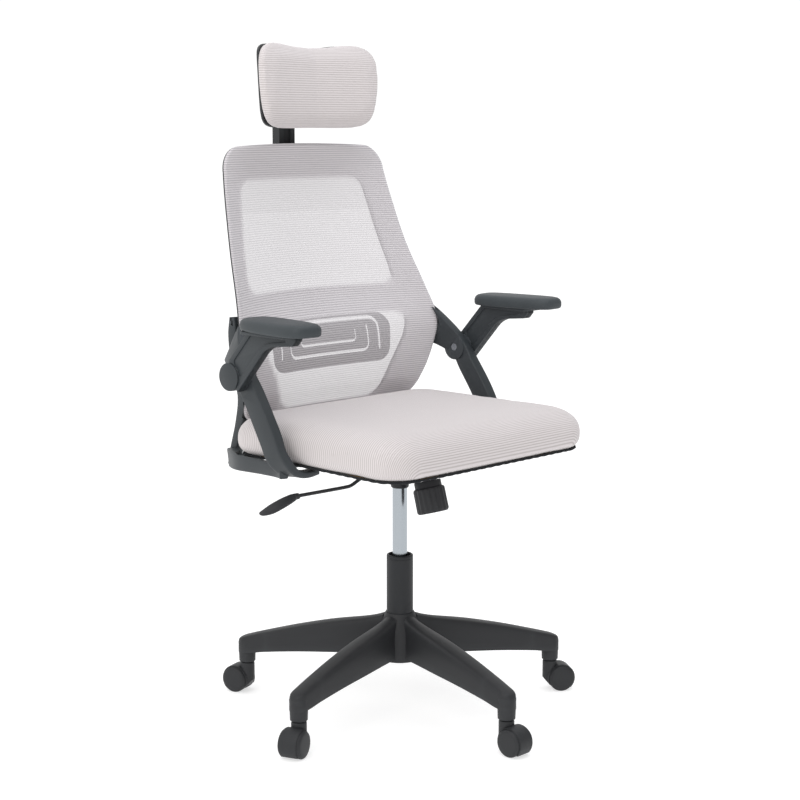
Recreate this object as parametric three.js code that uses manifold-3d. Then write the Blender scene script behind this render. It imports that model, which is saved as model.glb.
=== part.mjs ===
// A task chair with a headrest, flip-up arms and a mesh back on a five-star base with casters.
// Millimetres, +Z up, the sitter faces -Y. The gas lift stands on x = 0, y = 0 of the inner group.
import * as THREE from "three";
import { mergeVertices } from "three/addons/utils/BufferGeometryUtils.js";
import { TessellateModifier } from "three/addons/modifiers/TessellateModifier.js";
import Module from "manifold-3d";

const wasm = await Module();
wasm.setup();

// Driving dimensions.
const GAP = 0.35; // between pieces that touch
const BASE_SHIFT_Y = 12; // sets the whole chair's middle on the origin
const LEG_COUNT = 5;
const STEM_CIRCLE_RADIUS = 311;
const REAR_LEG_ANGLE = 45.6; // degrees from +X toward +Y
const SOCKET = { radius: 17, bottom: 62, top: 96 };
const HUB = { radius: 43, bottom: 97, top: 187 };
const WHEEL = { radius: 25, width: 19, axleRadius: 4, trail: 20 };
const HOOD = { radius: 27.6, halfWidth: 17.5, stemRadius: 14, top: 60.5 };
const CASTER_STEM_RADIUS = 5.5;
const CASTER_HEADINGS = [60, 108, 201, 270, 326]; // trail direction of each caster
const TUBE = { radius: 25, wall: 2, bottom: 104, top: 298 };
const LIFT = { radius: 14, bore: 5.3, bottom: 236, top: 466, rodRadius: 5, rodTop: 322 };
const HOUSING = { halfWidth: 45, front: -104, rear: 32, floor: 455, wall: 3 };
const SOCKET_TUBE = { radius: 17, bottom: 426 };
const TILT_AXLE = { y: -34, z: 474, radius: 5, half: 52 };
const PLATE = { halfWidth: 78, front: -112, rear: 96, bottom: 493, thickness: 3 };
const KNOB = { radius: 28.5, length: 57, y: -71, z: 446, tilt: 16 };
const LEVER = { radius: 3.3, z: 475.6, bushRadius: 7, bushBore: 4.7 };
const SEAT = { half: 264, front: -250, rear: 192, corner: 66, bottom: 499.5, top: 577 };
const BOARD = { bottom: 499, top: 509, inset: 18 };
const BACK = { bottom: 552, top: 1054, corner: 44, frameDepth: 10 };
const WINDOW = { bottom: 574, top: 996, corner: 30 };
const CROSSBAR = { bottom: 734, top: 777 };
const LUMBAR = { half: 155, bottom: 636, top: 731, corner: 28, depth: 5 };
const PIVOT = { y: 115, z: 655, innerX: 271, jointX: 295, outerX: 313.5, radius: 25.5 };
const ARM_PAD = { length: 180, width: 79, bottom: 743.4, top: 766, x: 311, y: -18, toeOut: 7 };
const HEADREST_HINGE = { y: 302, z: 1168 };
const POST = { width: 40, depth: 20, y: 315, bottom: 998, top: 1160 };

// Finishes.
const finish = (color, roughness, metalness = 0) =>
  new THREE.MeshStandardMaterial({ color, roughness, metalness });
const BLACK_NYLON = finish("#3a3b3c", 0.55);
const CHARCOAL_NYLON = finish("#4a4e50", 0.5);
const BLACK_STEEL = finish("#26272a", 0.45, 0.6);
const CHROME = finish("#b9c2c6", 0.2, 1);
const SPRING_STEEL = finish("#8c9094", 0.35, 1);
const SOFT_PAD = finish("#4c5154", 0.75);
const FABRIC = finish("#d8d4d8", 0.95);
const MESH_FABRIC = finish("#cfcace", 0.95);
const PLYWOOD = finish("#b08d5f", 0.8);
const COVER_CLOTH = finish("#1d1e20", 0.95);

// Solids: closed triangle meshes, and the joins and cuts between them.
function toSolid(geometry) {
  const bare = geometry.clone();
  bare.deleteAttribute("normal");
  bare.deleteAttribute("uv");
  const merged = mergeVertices(bare, 1e-3);
  return new wasm.Manifold(
    new wasm.Mesh({
      numProp: 3,
      vertProperties: merged.attributes.position.array,
      triVerts: new Uint32Array(merged.index.array),
    }),
  );
}

function toGeometry(solid) {
  const mesh = solid.getMesh();
  const geometry = new THREE.BufferGeometry();
  geometry.setAttribute("position", new THREE.BufferAttribute(mesh.vertProperties, 3));
  geometry.setIndex(new THREE.BufferAttribute(mesh.triVerts, 1));
  return geometry;
}

function join(...pieces) {
  return toGeometry(pieces.map(toSolid).reduce((all, next) => all.add(next)));
}

function cut(piece, ...tools) {
  return toGeometry(tools.map(toSolid).reduce((rest, tool) => rest.subtract(tool), toSolid(piece)));
}

// Turns a mesh right side out when its faces point inwards.
function facingOut(positions, index) {
  const [a, b, c] = [new THREE.Vector3(), new THREE.Vector3(), new THREE.Vector3()];
  let volume = 0;
  for (let i = 0; i < index.length; i += 3) {
    a.fromArray(positions, 3 * index[i]);
    b.fromArray(positions, 3 * index[i + 1]);
    c.fromArray(positions, 3 * index[i + 2]);
    volume += a.dot(b.cross(c));
  }
  if (volume < 0) index.reverse();
  const geometry = new THREE.BufferGeometry();
  geometry.setAttribute("position", new THREE.Float32BufferAttribute(positions, 3));
  geometry.setIndex(index);
  return geometry;
}

// Skins a row of sections, each a ring of points. A closed row joins its last section to its first.
function loft(sections, closedRow = false) {
  const count = sections[0].length;
  const positions = sections.flat().flatMap((p) => [p.x, p.y, p.z]);
  const index = [];
  const rows = closedRow ? sections.length : sections.length - 1;
  for (let i = 0; i < rows; i++) {
    const next = (i + 1) % sections.length;
    for (let j = 0; j < count; j++) {
      const k = (j + 1) % count;
      const [a, b, c, d] = [i * count + j, i * count + k, next * count + k, next * count + j];
      index.push(a, b, c, a, c, d);
    }
  }
  if (!closedRow) {
    for (const [row, forward] of [[0, false], [sections.length - 1, true]]) {
      const centre = new THREE.Vector3();
      sections[row].forEach((p) => centre.addScaledVector(p, 1 / count));
      const middle = positions.length / 3;
      positions.push(centre.x, centre.y, centre.z);
      for (let j = 0; j < count; j++) {
        const [a, b] = [row * count + j, row * count + ((j + 1) % count)];
        if (forward) index.push(middle, a, b);
        else index.push(middle, b, a);
      }
    }
  }
  return facingOut(positions, index);
}

// A rounded rectangle as a superellipse, centred on the origin of its own plane.
function roundedSection(width, height, power = 5, count = 16) {
  return Array.from({ length: count }, (_, i) => {
    const angle = (2 * Math.PI * (i + 0.5)) / count;
    const bend = (v) => Math.sign(v) * Math.abs(v) ** (2 / power);
    return [(bend(Math.cos(angle)) * width) / 2, (bend(Math.sin(angle)) * height) / 2];
  });
}

// A bar through stations { p, w, t, n }: w is its width across the path, t its thickness along n.
function bar(stations, grow = 0, power = 6, count = 12) {
  const points = stations.map((s) => new THREE.Vector3(...s.p));
  const sections = stations.map((s, i) => {
    const before = points[Math.max(i - 1, 0)];
    const after = points[Math.min(i + 1, points.length - 1)];
    const along = after.clone().sub(before).normalize();
    const thick = new THREE.Vector3(...s.n);
    thick.addScaledVector(along, -thick.dot(along)).normalize();
    const across = new THREE.Vector3().crossVectors(along, thick);
    return roundedSection(s.w + 2 * grow, s.t + 2 * grow, power, count).map(([u, v]) =>
      points[i].clone().addScaledVector(across, u).addScaledVector(thick, v),
    );
  });
  return loft(sections);
}

// A turned piece about the Z axis from [radius, z] points.
function turned(profile, segments = 24) {
  const points = profile.map(([r, z]) => new THREE.Vector2(r, z));
  const geometry = new THREE.LatheGeometry(points, segments).rotateX(Math.PI / 2);
  const merged = mergeVertices(stripped(geometry), 1e-3);
  return facingOut(Array.from(merged.attributes.position.array), Array.from(merged.index.array));
}

function stripped(geometry) {
  geometry.deleteAttribute("normal");
  geometry.deleteAttribute("uv");
  return geometry;
}

const rod = (radius, from, to, segments = 16) =>
  turned([[0, from], [radius, from], [radius, to], [0, to]], segments);

const ring = (inner, outer, from, to, segments = 20) =>
  turned([[inner, from], [outer, from], [outer, to], [inner, to], [inner, from]], segments);

function box(x0, x1, y0, y1, z0, z1) {
  return new THREE.BoxGeometry(x1 - x0, y1 - y0, z1 - z0).translate(
    (x0 + x1) / 2, (y0 + y1) / 2, (z0 + z1) / 2,
  );
}

// Lays a turned piece's axis along X.
const alongX = (geometry, y = 0, z = 0) => geometry.rotateY(Math.PI / 2).translate(0, y, z);

// An outline in the (y, z) plane made solid between two x values.
function sidePlate(outline, x0, x1) {
  const shape = new THREE.Shape(outline.map(([y, z]) => new THREE.Vector2(y, z)));
  const geometry = new THREE.ExtrudeGeometry(shape, { depth: x1 - x0, bevelEnabled: false });
  return geometry.rotateY(Math.PI / 2).rotateX(Math.PI / 2).translate(x0, 0, 0);
}

function mirroredX(geometry) {
  const copy = geometry.index ? geometry.clone() : mergeVertices(stripped(geometry.clone()), 1e-3);
  const positions = Array.from(copy.attributes.position.array, (v, i) => (i % 3 ? v : -v));
  return facingOut(positions, Array.from(copy.index.array));
}

// Smooth value between stations of [key, value].
function between(stations, key) {
  const last = stations.length - 1;
  if (key <= stations[0][0]) return stations[0][1];
  if (key >= stations[last][0]) return stations[last][1];
  const i = stations.findIndex(([k]) => k > key) - 1;
  const at = (j) => stations[Math.min(Math.max(j, 0), last)];
  const slope = (j) => (at(j + 1)[1] - at(j - 1)[1]) / (at(j + 1)[0] - at(j - 1)[0]);
  const [k0, v0] = at(i);
  const [k1, v1] = at(i + 1);
  const h = k1 - k0;
  const t = (key - k0) / h;
  return (
    v0 * (1 + 2 * t) * (1 - t) ** 2 + slope(i) * h * t * (1 - t) ** 2 +
    v1 * t * t * (3 - 2 * t) + slope(i + 1) * h * t * t * (t - 1)
  );
}

const group = new THREE.Group();
const chair = new THREE.Group();
chair.position.y = BASE_SHIFT_Y;
group.add(chair);

function add(name, geometry, material) {
  const mesh = new THREE.Mesh(geometry, material);
  mesh.name = name;
  chair.add(mesh);
  return mesh;
}

// Base: five hollow-backed legs around a hub, each ending in a caster socket.
const legAngle = (i) => THREE.MathUtils.degToRad(REAR_LEG_ANGLE + (360 / LEG_COUNT) * i);
const LEG_TOP = [[20, 179], [70, 173], [135, 161], [205, 144], [275, 125], [320, 111], [327, 106]];
const LEG_BOTTOM = [[20, 104], [70, 104], [140, 100], [205, 95], [275, 87], [320, 80], [327, 86]];
const LEG_WIDTH = [[20, 32], [46, 34], [80, 38], [135, 41], [205, 40], [275, 37], [318, 33], [327, 22]];

function legSection(r) {
  const top = between(LEG_TOP, r);
  const bottom = between(LEG_BOTTOM, r);
  const half = between(LEG_WIDTH, r) / 2;
  const height = top - bottom;
  const side = [
    [half, 0], [half * 0.94, 0.55], [half * 0.86, 0.8], [half * 0.62, 0.93], [half * 0.3, 0.99],
  ];
  const right = side.map(([y, f]) => new THREE.Vector3(r, y, bottom + f * height));
  const left = [...side].reverse().map(([y, f]) => new THREE.Vector3(r, -y, bottom + f * height));
  return [...right, ...left];
}

function leg() {
  const body = loft([20, 70, 140, 210, 280, 316, 327].map(legSection));
  const { radius, bottom, top } = SOCKET;
  const socket = turned([[0, bottom], [radius - 1, bottom], [radius + 0.5, top], [0, top]], 20);
  return join(body, socket.translate(STEM_CIRCLE_RADIUS, 0, 0));
}

function legPocket(from, to) {
  const wall = 5;
  return loft(
    [from, to].map((r) => {
      const half = between(LEG_WIDTH, r) / 2 - wall;
      const [low, high] = [between(LEG_BOTTOM, r) - 5, between(LEG_TOP, r) - 16];
      return [[-half, low], [half, low], [half * 0.75, high], [-half * 0.75, high]].map(
        ([y, z]) => new THREE.Vector3(r, y, z),
      );
    }),
  );
}

function starBase() {
  const hub = turned([
    [0, HUB.bottom], [HUB.radius - 2, HUB.bottom], [HUB.radius, HUB.bottom + 3],
    [HUB.radius - 1, 150], [36, 172], [31, HUB.top], [0, HUB.top],
  ], 28);
  const bore = rod(TUBE.radius + GAP, HUB.bottom - 5, HUB.top + 5, 28);
  const stemBore = rod(CASTER_STEM_RADIUS + 0.45, SOCKET.bottom - 5, 97, 12);
  const turn = (geometry, i) => geometry.rotateZ(legAngle(i));
  const legs = Array.from({ length: LEG_COUNT }, (_, i) => turn(leg(), i));
  const pockets = [[62, 128], [134, 200], [206, 268]].flatMap(([from, to]) =>
    Array.from({ length: LEG_COUNT }, (_, i) => turn(legPocket(from, to), i)),
  );
  const stemBores = Array.from({ length: LEG_COUNT }, (_, i) =>
    turn(stemBore.clone().translate(STEM_CIRCLE_RADIUS, 0, 0), i),
  );
  return cut(join(hub, ...legs), bore, ...pockets, ...stemBores);
}
add("star_base", starBase(), BLACK_NYLON);

// Casters: a hood on a swivel stem, and two wheels pressed on one axle.

// An outline in the (x, z) plane made solid between two y values.
function crossPlate(outline, y0, y1) {
  const shape = new THREE.Shape(outline.map(([x, z]) => new THREE.Vector2(x, z)));
  const geometry = new THREE.ExtrudeGeometry(shape, { depth: y1 - y0, bevelEnabled: false });
  return geometry.rotateX(Math.PI / 2).translate(0, y1, 0);
}

function hood() {
  const [cx, cz] = [WHEEL.trail, WHEEL.radius];
  const steps = 12;
  const over = Array.from({ length: steps + 1 }, (_, i) => {
    const angle = THREE.MathUtils.degToRad(-46 + (171 * i) / steps);
    return [cx + HOOD.radius * Math.cos(angle), cz + HOOD.radius * Math.sin(angle)];
  });
  const back = [[-HOOD.stemRadius, 47], [-HOOD.stemRadius, 27], [-3, 10], [8, 14], [20, 16], [32, 10]];
  const block = crossPlate([...over, ...back], -HOOD.halfWidth, HOOD.halfWidth);
  const barrel = turned([
    [0, 44], [HOOD.stemRadius, 44], [HOOD.stemRadius, HOOD.top - 2], [HOOD.stemRadius - 1.5, HOOD.top],
    [0, HOOD.top],
  ], 20);
  const well = (from, to) => rod(WHEEL.radius + 0.8, from, to, 24).rotateX(Math.PI / 2).translate(cx, 0, cz);
  const axleBore = rod(WHEEL.axleRadius + 0.1, -30, 30, 12).rotateX(Math.PI / 2).translate(cx, 0, cz);
  const stemBore = rod(CASTER_STEM_RADIUS + GAP, 52, 80, 12);
  return cut(join(block, barrel), well(2.2, 40), well(-40, -2.2), axleBore, stemBore);
}

function wheel(side) {
  const [w, r] = [WHEEL.width, WHEEL.radius];
  const profile = [
    [WHEEL.axleRadius + 0.3, 0], [r - 1.5, 0], [r, 1.8], [r, w - 3.5], [r - 2.5, w],
    [WHEEL.axleRadius + 0.3, w], [WHEEL.axleRadius + 0.3, 0],
  ];
  const geometry = turned(profile, 24).rotateX(side > 0 ? -Math.PI / 2 : Math.PI / 2);
  return geometry.translate(WHEEL.trail, side * 3, WHEEL.radius);
}

for (let i = 0; i < LEG_COUNT; i++) {
  const caster = new THREE.Group();
  const angle = legAngle(i);
  caster.position.set(STEM_CIRCLE_RADIUS * Math.cos(angle), STEM_CIRCLE_RADIUS * Math.sin(angle), 0);
  caster.rotation.z = THREE.MathUtils.degToRad(CASTER_HEADINGS[i]);
  chair.add(caster);
  const place = (name, geometry, material) => {
    const mesh = new THREE.Mesh(geometry, material);
    mesh.name = `caster_${i + 1}_${name}`;
    caster.add(mesh);
  };
  place("hood", hood(), BLACK_NYLON);
  place("stem", rod(CASTER_STEM_RADIUS, 52.5, 94, 12), CHROME);
  const axle = rod(WHEEL.axleRadius, -21, 21, 12).rotateX(Math.PI / 2);
  place("axle", axle.translate(WHEEL.trail, 0, WHEEL.radius), CHROME);
  place("wheel_left", wheel(1), BLACK_NYLON);
  place("wheel_right", wheel(-1), BLACK_NYLON);
}

// Gas lift: outer tube in the hub, guide bush, piston rod on the tube's floor, cylinder on the rod.
add("column_tube", turned([
  [LIFT.rodRadius + 0.2, TUBE.bottom], [TUBE.radius, TUBE.bottom], [TUBE.radius, TUBE.top - 3],
  [TUBE.radius - 1, TUBE.top], [21, TUBE.top], [21, TUBE.top - 5], [TUBE.radius - TUBE.wall, TUBE.top - 5],
  [TUBE.radius - TUBE.wall, TUBE.bottom + 4], [LIFT.rodRadius + 0.2, TUBE.bottom + 4],
  [LIFT.rodRadius + 0.2, TUBE.bottom],
], 28), BLACK_STEEL);
const columnBush = ring(LIFT.radius + 0.1, TUBE.radius - TUBE.wall - 0.1, 205, TUBE.top - 5.4, 28);
add("column_bush", columnBush, BLACK_NYLON);
add("gas_cylinder", turned([
  [LIFT.bore, LIFT.bottom], [LIFT.radius - 1, LIFT.bottom], [LIFT.radius, LIFT.bottom + 1],
  [LIFT.radius, LIFT.top - 1], [LIFT.radius - 1, LIFT.top], [LIFT.bore, LIFT.top], [LIFT.bore, LIFT.bottom],
], 24), CHROME);
add("piston_rod", turned([
  [0, TUBE.bottom + 1], [LIFT.rodRadius, TUBE.bottom + 1], [LIFT.rodRadius, TUBE.bottom + 4.4],
  [11, TUBE.bottom + 4.4], [11, TUBE.bottom + 9], [LIFT.rodRadius, TUBE.bottom + 9],
  [LIFT.rodRadius, LIFT.rodTop], [0, LIFT.rodTop],
], 16), CHROME);
add("release_button", turned([
  [0, 450], [LIFT.bore - 0.2, 450], [LIFT.bore - 0.2, 470.3], [0, 470.6],
], 16), SPRING_STEEL);

// Tilt mechanism: a steel tray on the lift's taper, a tilting plate on an axle, and its spring.
function mechanismHousing() {
  const { halfWidth: h, front, rear, floor, wall } = HOUSING;
  const outline = [
    [front, 474], [front + 6, 470], [-48, 468], [-40, floor], [rear, floor],
    [rear, 477], [8, 483], [-12, 485], [-48, 490], [front, 490],
  ];
  const inner = [
    [front + wall, 477.5], [-46, 471.5], [-38, floor + wall],
    [rear - wall, floor + wall], [rear - wall, 500], [front + wall, 500],
  ];
  const tray = cut(sidePlate(outline, -h, h), sidePlate(inner, -h + wall, h - wall));
  const { radius, bottom } = SOCKET_TUBE;
  const socket = turned([[0, bottom], [radius - 1.5, bottom], [radius, bottom + 2], [radius, 465], [0, 465]]);
  const taper = rod(LIFT.radius + GAP, bottom - 4, 500, 32);
  const axleBore = alongX(rod(TILT_AXLE.radius + 0.08, -60, 60), TILT_AXLE.y, TILT_AXLE.z);
  const bushBore = alongX(rod(LEVER.bushRadius + 0.3, -60, -30), 0, LEVER.z);
  const boltSlot = box(-7, 7, KNOB.y - 9, KNOB.y + 22, 460, 482);
  return cut(join(tray, socket), taper, axleBore, bushBore, boltSlot);
}
add("mechanism_housing", mechanismHousing(), BLACK_STEEL);

const tiltAxle = rod(TILT_AXLE.radius, -TILT_AXLE.half, TILT_AXLE.half);
add("tilt_axle", alongX(tiltAxle, TILT_AXLE.y, TILT_AXLE.z), CHROME);

// The tension bolt, its spring and its knob share one axis, which leans back toward the plate.
const onKnobAxis = (geometry) =>
  geometry.rotateX(THREE.MathUtils.degToRad(-KNOB.tilt)).translate(0, KNOB.y, KNOB.z);

function mechanismPlate() {
  const { halfWidth, front, rear, bottom, thickness } = PLATE;
  const sheet = box(-halfWidth, halfWidth, front, rear, bottom, bottom + thickness);
  const flangeOutline = [[-58, bottom + 1], [-46, 466], [-38, 462], [-30, 462], [-22, 466], [-12, bottom + 1]];
  const inside = HOUSING.halfWidth + 0.6;
  const flanges = [inside, -inside - 3].map((x0) => sidePlate(flangeOutline, x0, x0 + 3));
  const axleBore = alongX(rod(TILT_AXLE.radius + GAP, -60, 60), TILT_AXLE.y, TILT_AXLE.z);
  const boltBore = onKnobAxis(rod(5.3, 30, 70));
  return cut(join(sheet, ...flanges), axleBore, boltBore);
}
add("mechanism_plate", mechanismPlate(), BLACK_STEEL);

add("tension_bolt", onKnobAxis(rod(5, -40, 49)), SPRING_STEEL);

function helix(radius, wire, from, to, turns) {
  const steps = turns * 10;
  const sections = Array.from({ length: steps + 1 }, (_, i) => {
    const angle = (2 * Math.PI * i) / 10;
    const centre = new THREE.Vector3(
      radius * Math.cos(angle), radius * Math.sin(angle), from + ((to - from) * i) / steps,
    );
    const out = new THREE.Vector3(Math.cos(angle), Math.sin(angle), 0);
    return Array.from({ length: 5 }, (_, j) => {
      const a = (2 * Math.PI * j) / 5;
      const rise = new THREE.Vector3(0, 0, wire * Math.sin(a));
      return centre.clone().addScaledVector(out, wire * Math.cos(a)).add(rise);
    });
  });
  return loft(sections);
}
add("tilt_spring", onKnobAxis(helix(12, 1.8, -23, 12.5, 4)), SPRING_STEEL);

function tensionKnob() {
  const { radius, length } = KNOB;
  const ribs = 16;
  const points = Array.from({ length: ribs * 4 }, (_, i) => {
    const angle = (2 * Math.PI * i) / (ribs * 4);
    const r = i % 4 < 2 ? radius : radius - 1.6;
    return new THREE.Vector2(r * Math.cos(angle), r * Math.sin(angle));
  });
  const grip = new THREE.ExtrudeGeometry(new THREE.Shape(points), {
    depth: length - 11, bevelEnabled: true, bevelSize: 1.5, bevelThickness: 1.5, bevelSegments: 1,
    bevelOffset: -1.5,
  }).translate(0, 0, -length + 1.5);
  const neck = rod(22.5, -10, 2, 32);
  const cup = rod(17, -25, 5, 24);
  const bore = rod(5.3, -42, 0);
  return onKnobAxis(cut(join(grip, neck), cup, bore));
}
add("tension_knob", tensionKnob(), BLACK_NYLON);

// The lever slides out to lock the tilt and lifts to press the lift's button.
add("lever_bush", alongX(ring(LEVER.bushBore, LEVER.bushRadius, -50, -20, 20), 0, LEVER.z), BLACK_NYLON);

function wire(points, radius, sides = 8) {
  const route = points.map((p) => new THREE.Vector3(...p));
  const sections = route.map((p, i) => {
    const before = route[Math.max(i - 1, 0)];
    const after = route[Math.min(i + 1, route.length - 1)];
    const along = after.clone().sub(before).normalize();
    const side = new THREE.Vector3(0, 1, 0);
    const up = new THREE.Vector3().crossVectors(along, side).normalize();
    return Array.from({ length: sides }, (_, j) => {
      const a = (2 * Math.PI * j) / sides;
      return p.clone().addScaledVector(side, radius * Math.cos(a)).addScaledVector(up, radius * Math.sin(a));
    });
  });
  return loft(sections);
}
add("lever_rod", wire([
  [14, 0, LEVER.z], [-54, 0, LEVER.z], [-66, 0, LEVER.z - 1.5], [-118, 0, 458], [-128, 0, 451.5],
  [-137, 0, 448], [-150, 0, 446.5], [-200, 0, 448], [-262, 0, 450],
], LEVER.radius), BLACK_STEEL);

function leverPaddle() {
  const stations = [
    { p: [-256, 0, 449.5], w: 13, t: 11, n: [0, 0, 1] },
    { p: [-268, 0, 448.5], w: 18, t: 12, n: [0, 0, 1] },
    { p: [-284, 0, 445], w: 29, t: 11, n: [0, 0, 1] },
    { p: [-308, 0, 438.5], w: 34, t: 9, n: [0.15, 0, 1] },
    { p: [-327, 0, 432], w: 30, t: 7, n: [0.3, 0, 1] },
    { p: [-337, 0, 431], w: 20, t: 5, n: [0.3, 0, 1] },
    { p: [-341, 0, 429.5], w: 8, t: 4, n: [0.3, 0, 1] },
  ];
  return cut(bar(stations, 0, 3), wire([[-240, 0, 449.4], [-264, 0, 450.05]], LEVER.radius + GAP, 12));
}
add("lever_paddle", leverPaddle(), BLACK_NYLON);

// Seat: plywood board in a padded cover, closed below by a thin cloth-covered sheet.
function seatOutline(inset, z) {
  const radius = SEAT.corner - inset * 0.6;
  const [front, rear] = [SEAT.front + inset, SEAT.rear - inset];
  const corners = [
    [SEAT.half - inset, front, -90], [SEAT.half - 8 - inset, rear, 0],
    [-SEAT.half + 8 + inset, rear, 90], [-SEAT.half + inset, front, 180],
  ];
  return corners.flatMap(([x, y, start]) => {
    const [cx, cy] = [x - Math.sign(x) * radius, y - Math.sign(y) * radius];
    return Array.from({ length: 7 }, (_, i) => {
      const angle = THREE.MathUtils.degToRad(start + (90 * i) / 6);
      return new THREE.Vector3(cx + radius * Math.cos(angle), cy + radius * Math.sin(angle), z);
    });
  });
}

const seatSlab = (inset, from, to) => loft([seatOutline(inset, from), seatOutline(inset, to)]);

function seatCushion() {
  const rings = [
    [9, SEAT.bottom], [2.5, 507], [0, 527], [2, 544], [7, 556], [16, 565], [30, 571],
    [52, 574.5], [84, SEAT.top],
  ];
  const body = loft(rings.map(([inset, z]) => seatOutline(inset, z)));
  return cut(body, seatSlab(BOARD.inset - GAP, SEAT.bottom - 5, BOARD.top + GAP));
}
add("seat_cushion", seatCushion(), FABRIC);
add("seat_board", seatSlab(BOARD.inset, BOARD.bottom, BOARD.top), PLYWOOD);
add("seat_under_cover", seatSlab(24, PLATE.bottom + PLATE.thickness + GAP, BOARD.bottom - GAP), COVER_CLOTH);

// Backrest surface: half width, the depth of its side edge and how much deeper its middle lies.
const BACK_HALF = [
  [552, 206], [600, 231], [660, 248.5], [715, 257], [780, 244.5], [860, 228], [940, 215.5],
  [1000, 207], [1051, 200],
];
const BACK_EDGE = [
  [552, 194], [575, 181], [600, 166], [660, 151], [715, 148], [780, 171], [860, 205], [940, 231],
  [1000, 247], [1051, 257],
];
const BACK_HOLLOW = [
  [552, 16], [600, 22], [660, 36], [715, 52], [780, 72], [860, 62], [940, 50], [1000, 42], [1051, 12],
];
const WINDOW_HALF = [
  [574, 130], [600, 143], [628, 155], [664, 175], [687, 187], [720, 194], [780, 192], [820, 189],
  [880, 179], [960, 165], [996, 158],
];

function backPoint(x, z, depth = 0) {
  const across = x / between(BACK_HALF, z);
  const y = between(BACK_EDGE, z) + between(BACK_HOLLOW, z) * (1 - across * across) + depth;
  return new THREE.Vector3(x, y, z);
}

// Half an outline from its bottom middle to its top middle, as [x, z] points.
function halfOutline({ bottom, top, corner }, half, grow = 0) {
  const [low, high, radius] = [bottom - grow, top + grow, corner + grow];
  const arc = (cx, cz, start) => Array.from({ length: 6 }, (_, i) => {
    const angle = THREE.MathUtils.degToRad(start + 15 * (i + 0.5));
    return [cx + radius * Math.cos(angle), cz + radius * Math.sin(angle)];
  });
  const edgeAt = (z) => between(half, z) + grow;
  const [lowX, highX] = [edgeAt(low + radius) - radius, edgeAt(high - radius) - radius];
  const side = Array.from({ length: 15 }, (_, i) => low + radius + ((high - low - 2 * radius) * i) / 14);
  return [
    ...[0, 0.33, 0.66, 1].map((f) => [lowX * f, low]),
    ...arc(lowX, low + radius, -90),
    ...side.map((z) => [edgeAt(z), z]),
    ...arc(highX, high - radius, 0),
    ...[1, 0.66, 0.33].map((f) => [highX * f, high]),
  ];
}

function wholeOutline(size, half, grow) {
  const right = halfOutline(size, half, grow);
  const left = right.slice(1).reverse().map(([x, z]) => [-x, z]);
  return [...right, [0, size.top + (grow ?? 0)], ...left];
}

// The backrest's outline filled between two depths, as a sheet that follows the surface.
function backSheet(grow, front, rear) {
  const right = halfOutline(BACK, BACK_HALF, grow);
  const rows = [...right, [0, BACK.top + grow]].filter(([x], i, all) => i >= 3 && x > 60);
  const clean = rows.filter(([, z], i) => i === 0 || z > rows[i - 1][1] + 0.5);
  const steps = [-1, -0.9, -0.72, -0.5, -0.25, 0, 0.25, 0.5, 0.72, 0.9, 1];
  return loft(clean.map(([x, z]) => [
    ...steps.map((f) => backPoint(x * f, z, front)),
    ...[...steps].reverse().map((f) => backPoint(x * f, z, rear)),
  ]));
}

function backFrame() {
  const outer = wholeOutline(BACK, BACK_HALF, 0);
  const inner = wholeOutline(WINDOW, WINDOW_HALF, 0);
  const depth = BACK.frameDepth;
  const rail = loft(outer.map(([x, z], i) => {
    const [ix, iz] = inner[i];
    const at = (f, d) => backPoint(x + (ix - x) * f, z + (iz - z) * f, d);
    return [at(0, 0), at(0.5, 0), at(1, 0), at(1, depth - 2), at(0.5, depth), at(0, 5)];
  }), true);
  const steps = Array.from({ length: 13 }, (_, i) => -1 + i / 6);
  const crossbar = loft(steps.map((f) => {
    const x = f * 200;
    const arch = 4 * (1 - f * f);
    const { bottom, top } = CROSSBAR;
    return [
      backPoint(x, bottom, 0.4), backPoint(x, (bottom + top) / 2, 0.4), backPoint(x, top + arch, 0.4),
      backPoint(x, top + arch, depth - 2), backPoint(x, (bottom + top) / 2, depth - 1),
       backPoint(x, bottom, depth - 2),
    ];
  }));
  return join(rail, crossbar);
}
add("back_frame", backFrame(), BLACK_NYLON);
add("back_mesh", backSheet(1, -4, -2), MESH_FABRIC);

// A slot of even width along a centre line, as a closed outline with blunt ends.
function slotOutline(line, width) {
  const offset = (side) => line.map(([x, z], i) => {
    const [bx, bz] = line[Math.max(i - 1, 0)];
    const [ax, az] = line[Math.min(i + 1, line.length - 1)];
    const length = Math.hypot(ax - bx, az - bz);
    return [x - (side * (az - bz) * width) / (2 * length), z + (side * (ax - bx) * width) / (2 * length)];
  });
  return new THREE.Path([...offset(1), ...offset(-1).reverse()].map(([x, z]) => new THREE.Vector2(x, z)));
}

// A U-shaped centre line with rounded corners; up is 1 when it opens upward.
function loopLine(half, closedZ, openZ, corner, up) {
  const turn = (cx, start, end) => Array.from({ length: 5 }, (_, i) => {
    const angle = THREE.MathUtils.degToRad(start + ((end - start) * i) / 4);
    return [cx + corner * Math.cos(angle), closedZ + up * corner + corner * Math.sin(angle) * up];
  });
  return [
    [-half, openZ], ...turn(-half + corner, 180, 270), ...turn(half - corner, 270, 360), [half, openZ],
  ];
}

// Bends a flat solid drawn in x and z, with y as its depth, onto the backrest surface.
function ontoBack(geometry) {
  const fine = new TessellateModifier(45, 6).modify(stripped(geometry));
  const merged = mergeVertices(stripped(fine), 1e-2);
  const positions = Array.from(merged.attributes.position.array);
  for (let i = 0; i < positions.length; i += 3) {
    const p = backPoint(positions[i], positions[i + 2], positions[i + 1]);
    [positions[i], positions[i + 1], positions[i + 2]] = [p.x, p.y, p.z];
  }
  return facingOut(positions, Array.from(merged.index.array));
}

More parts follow.
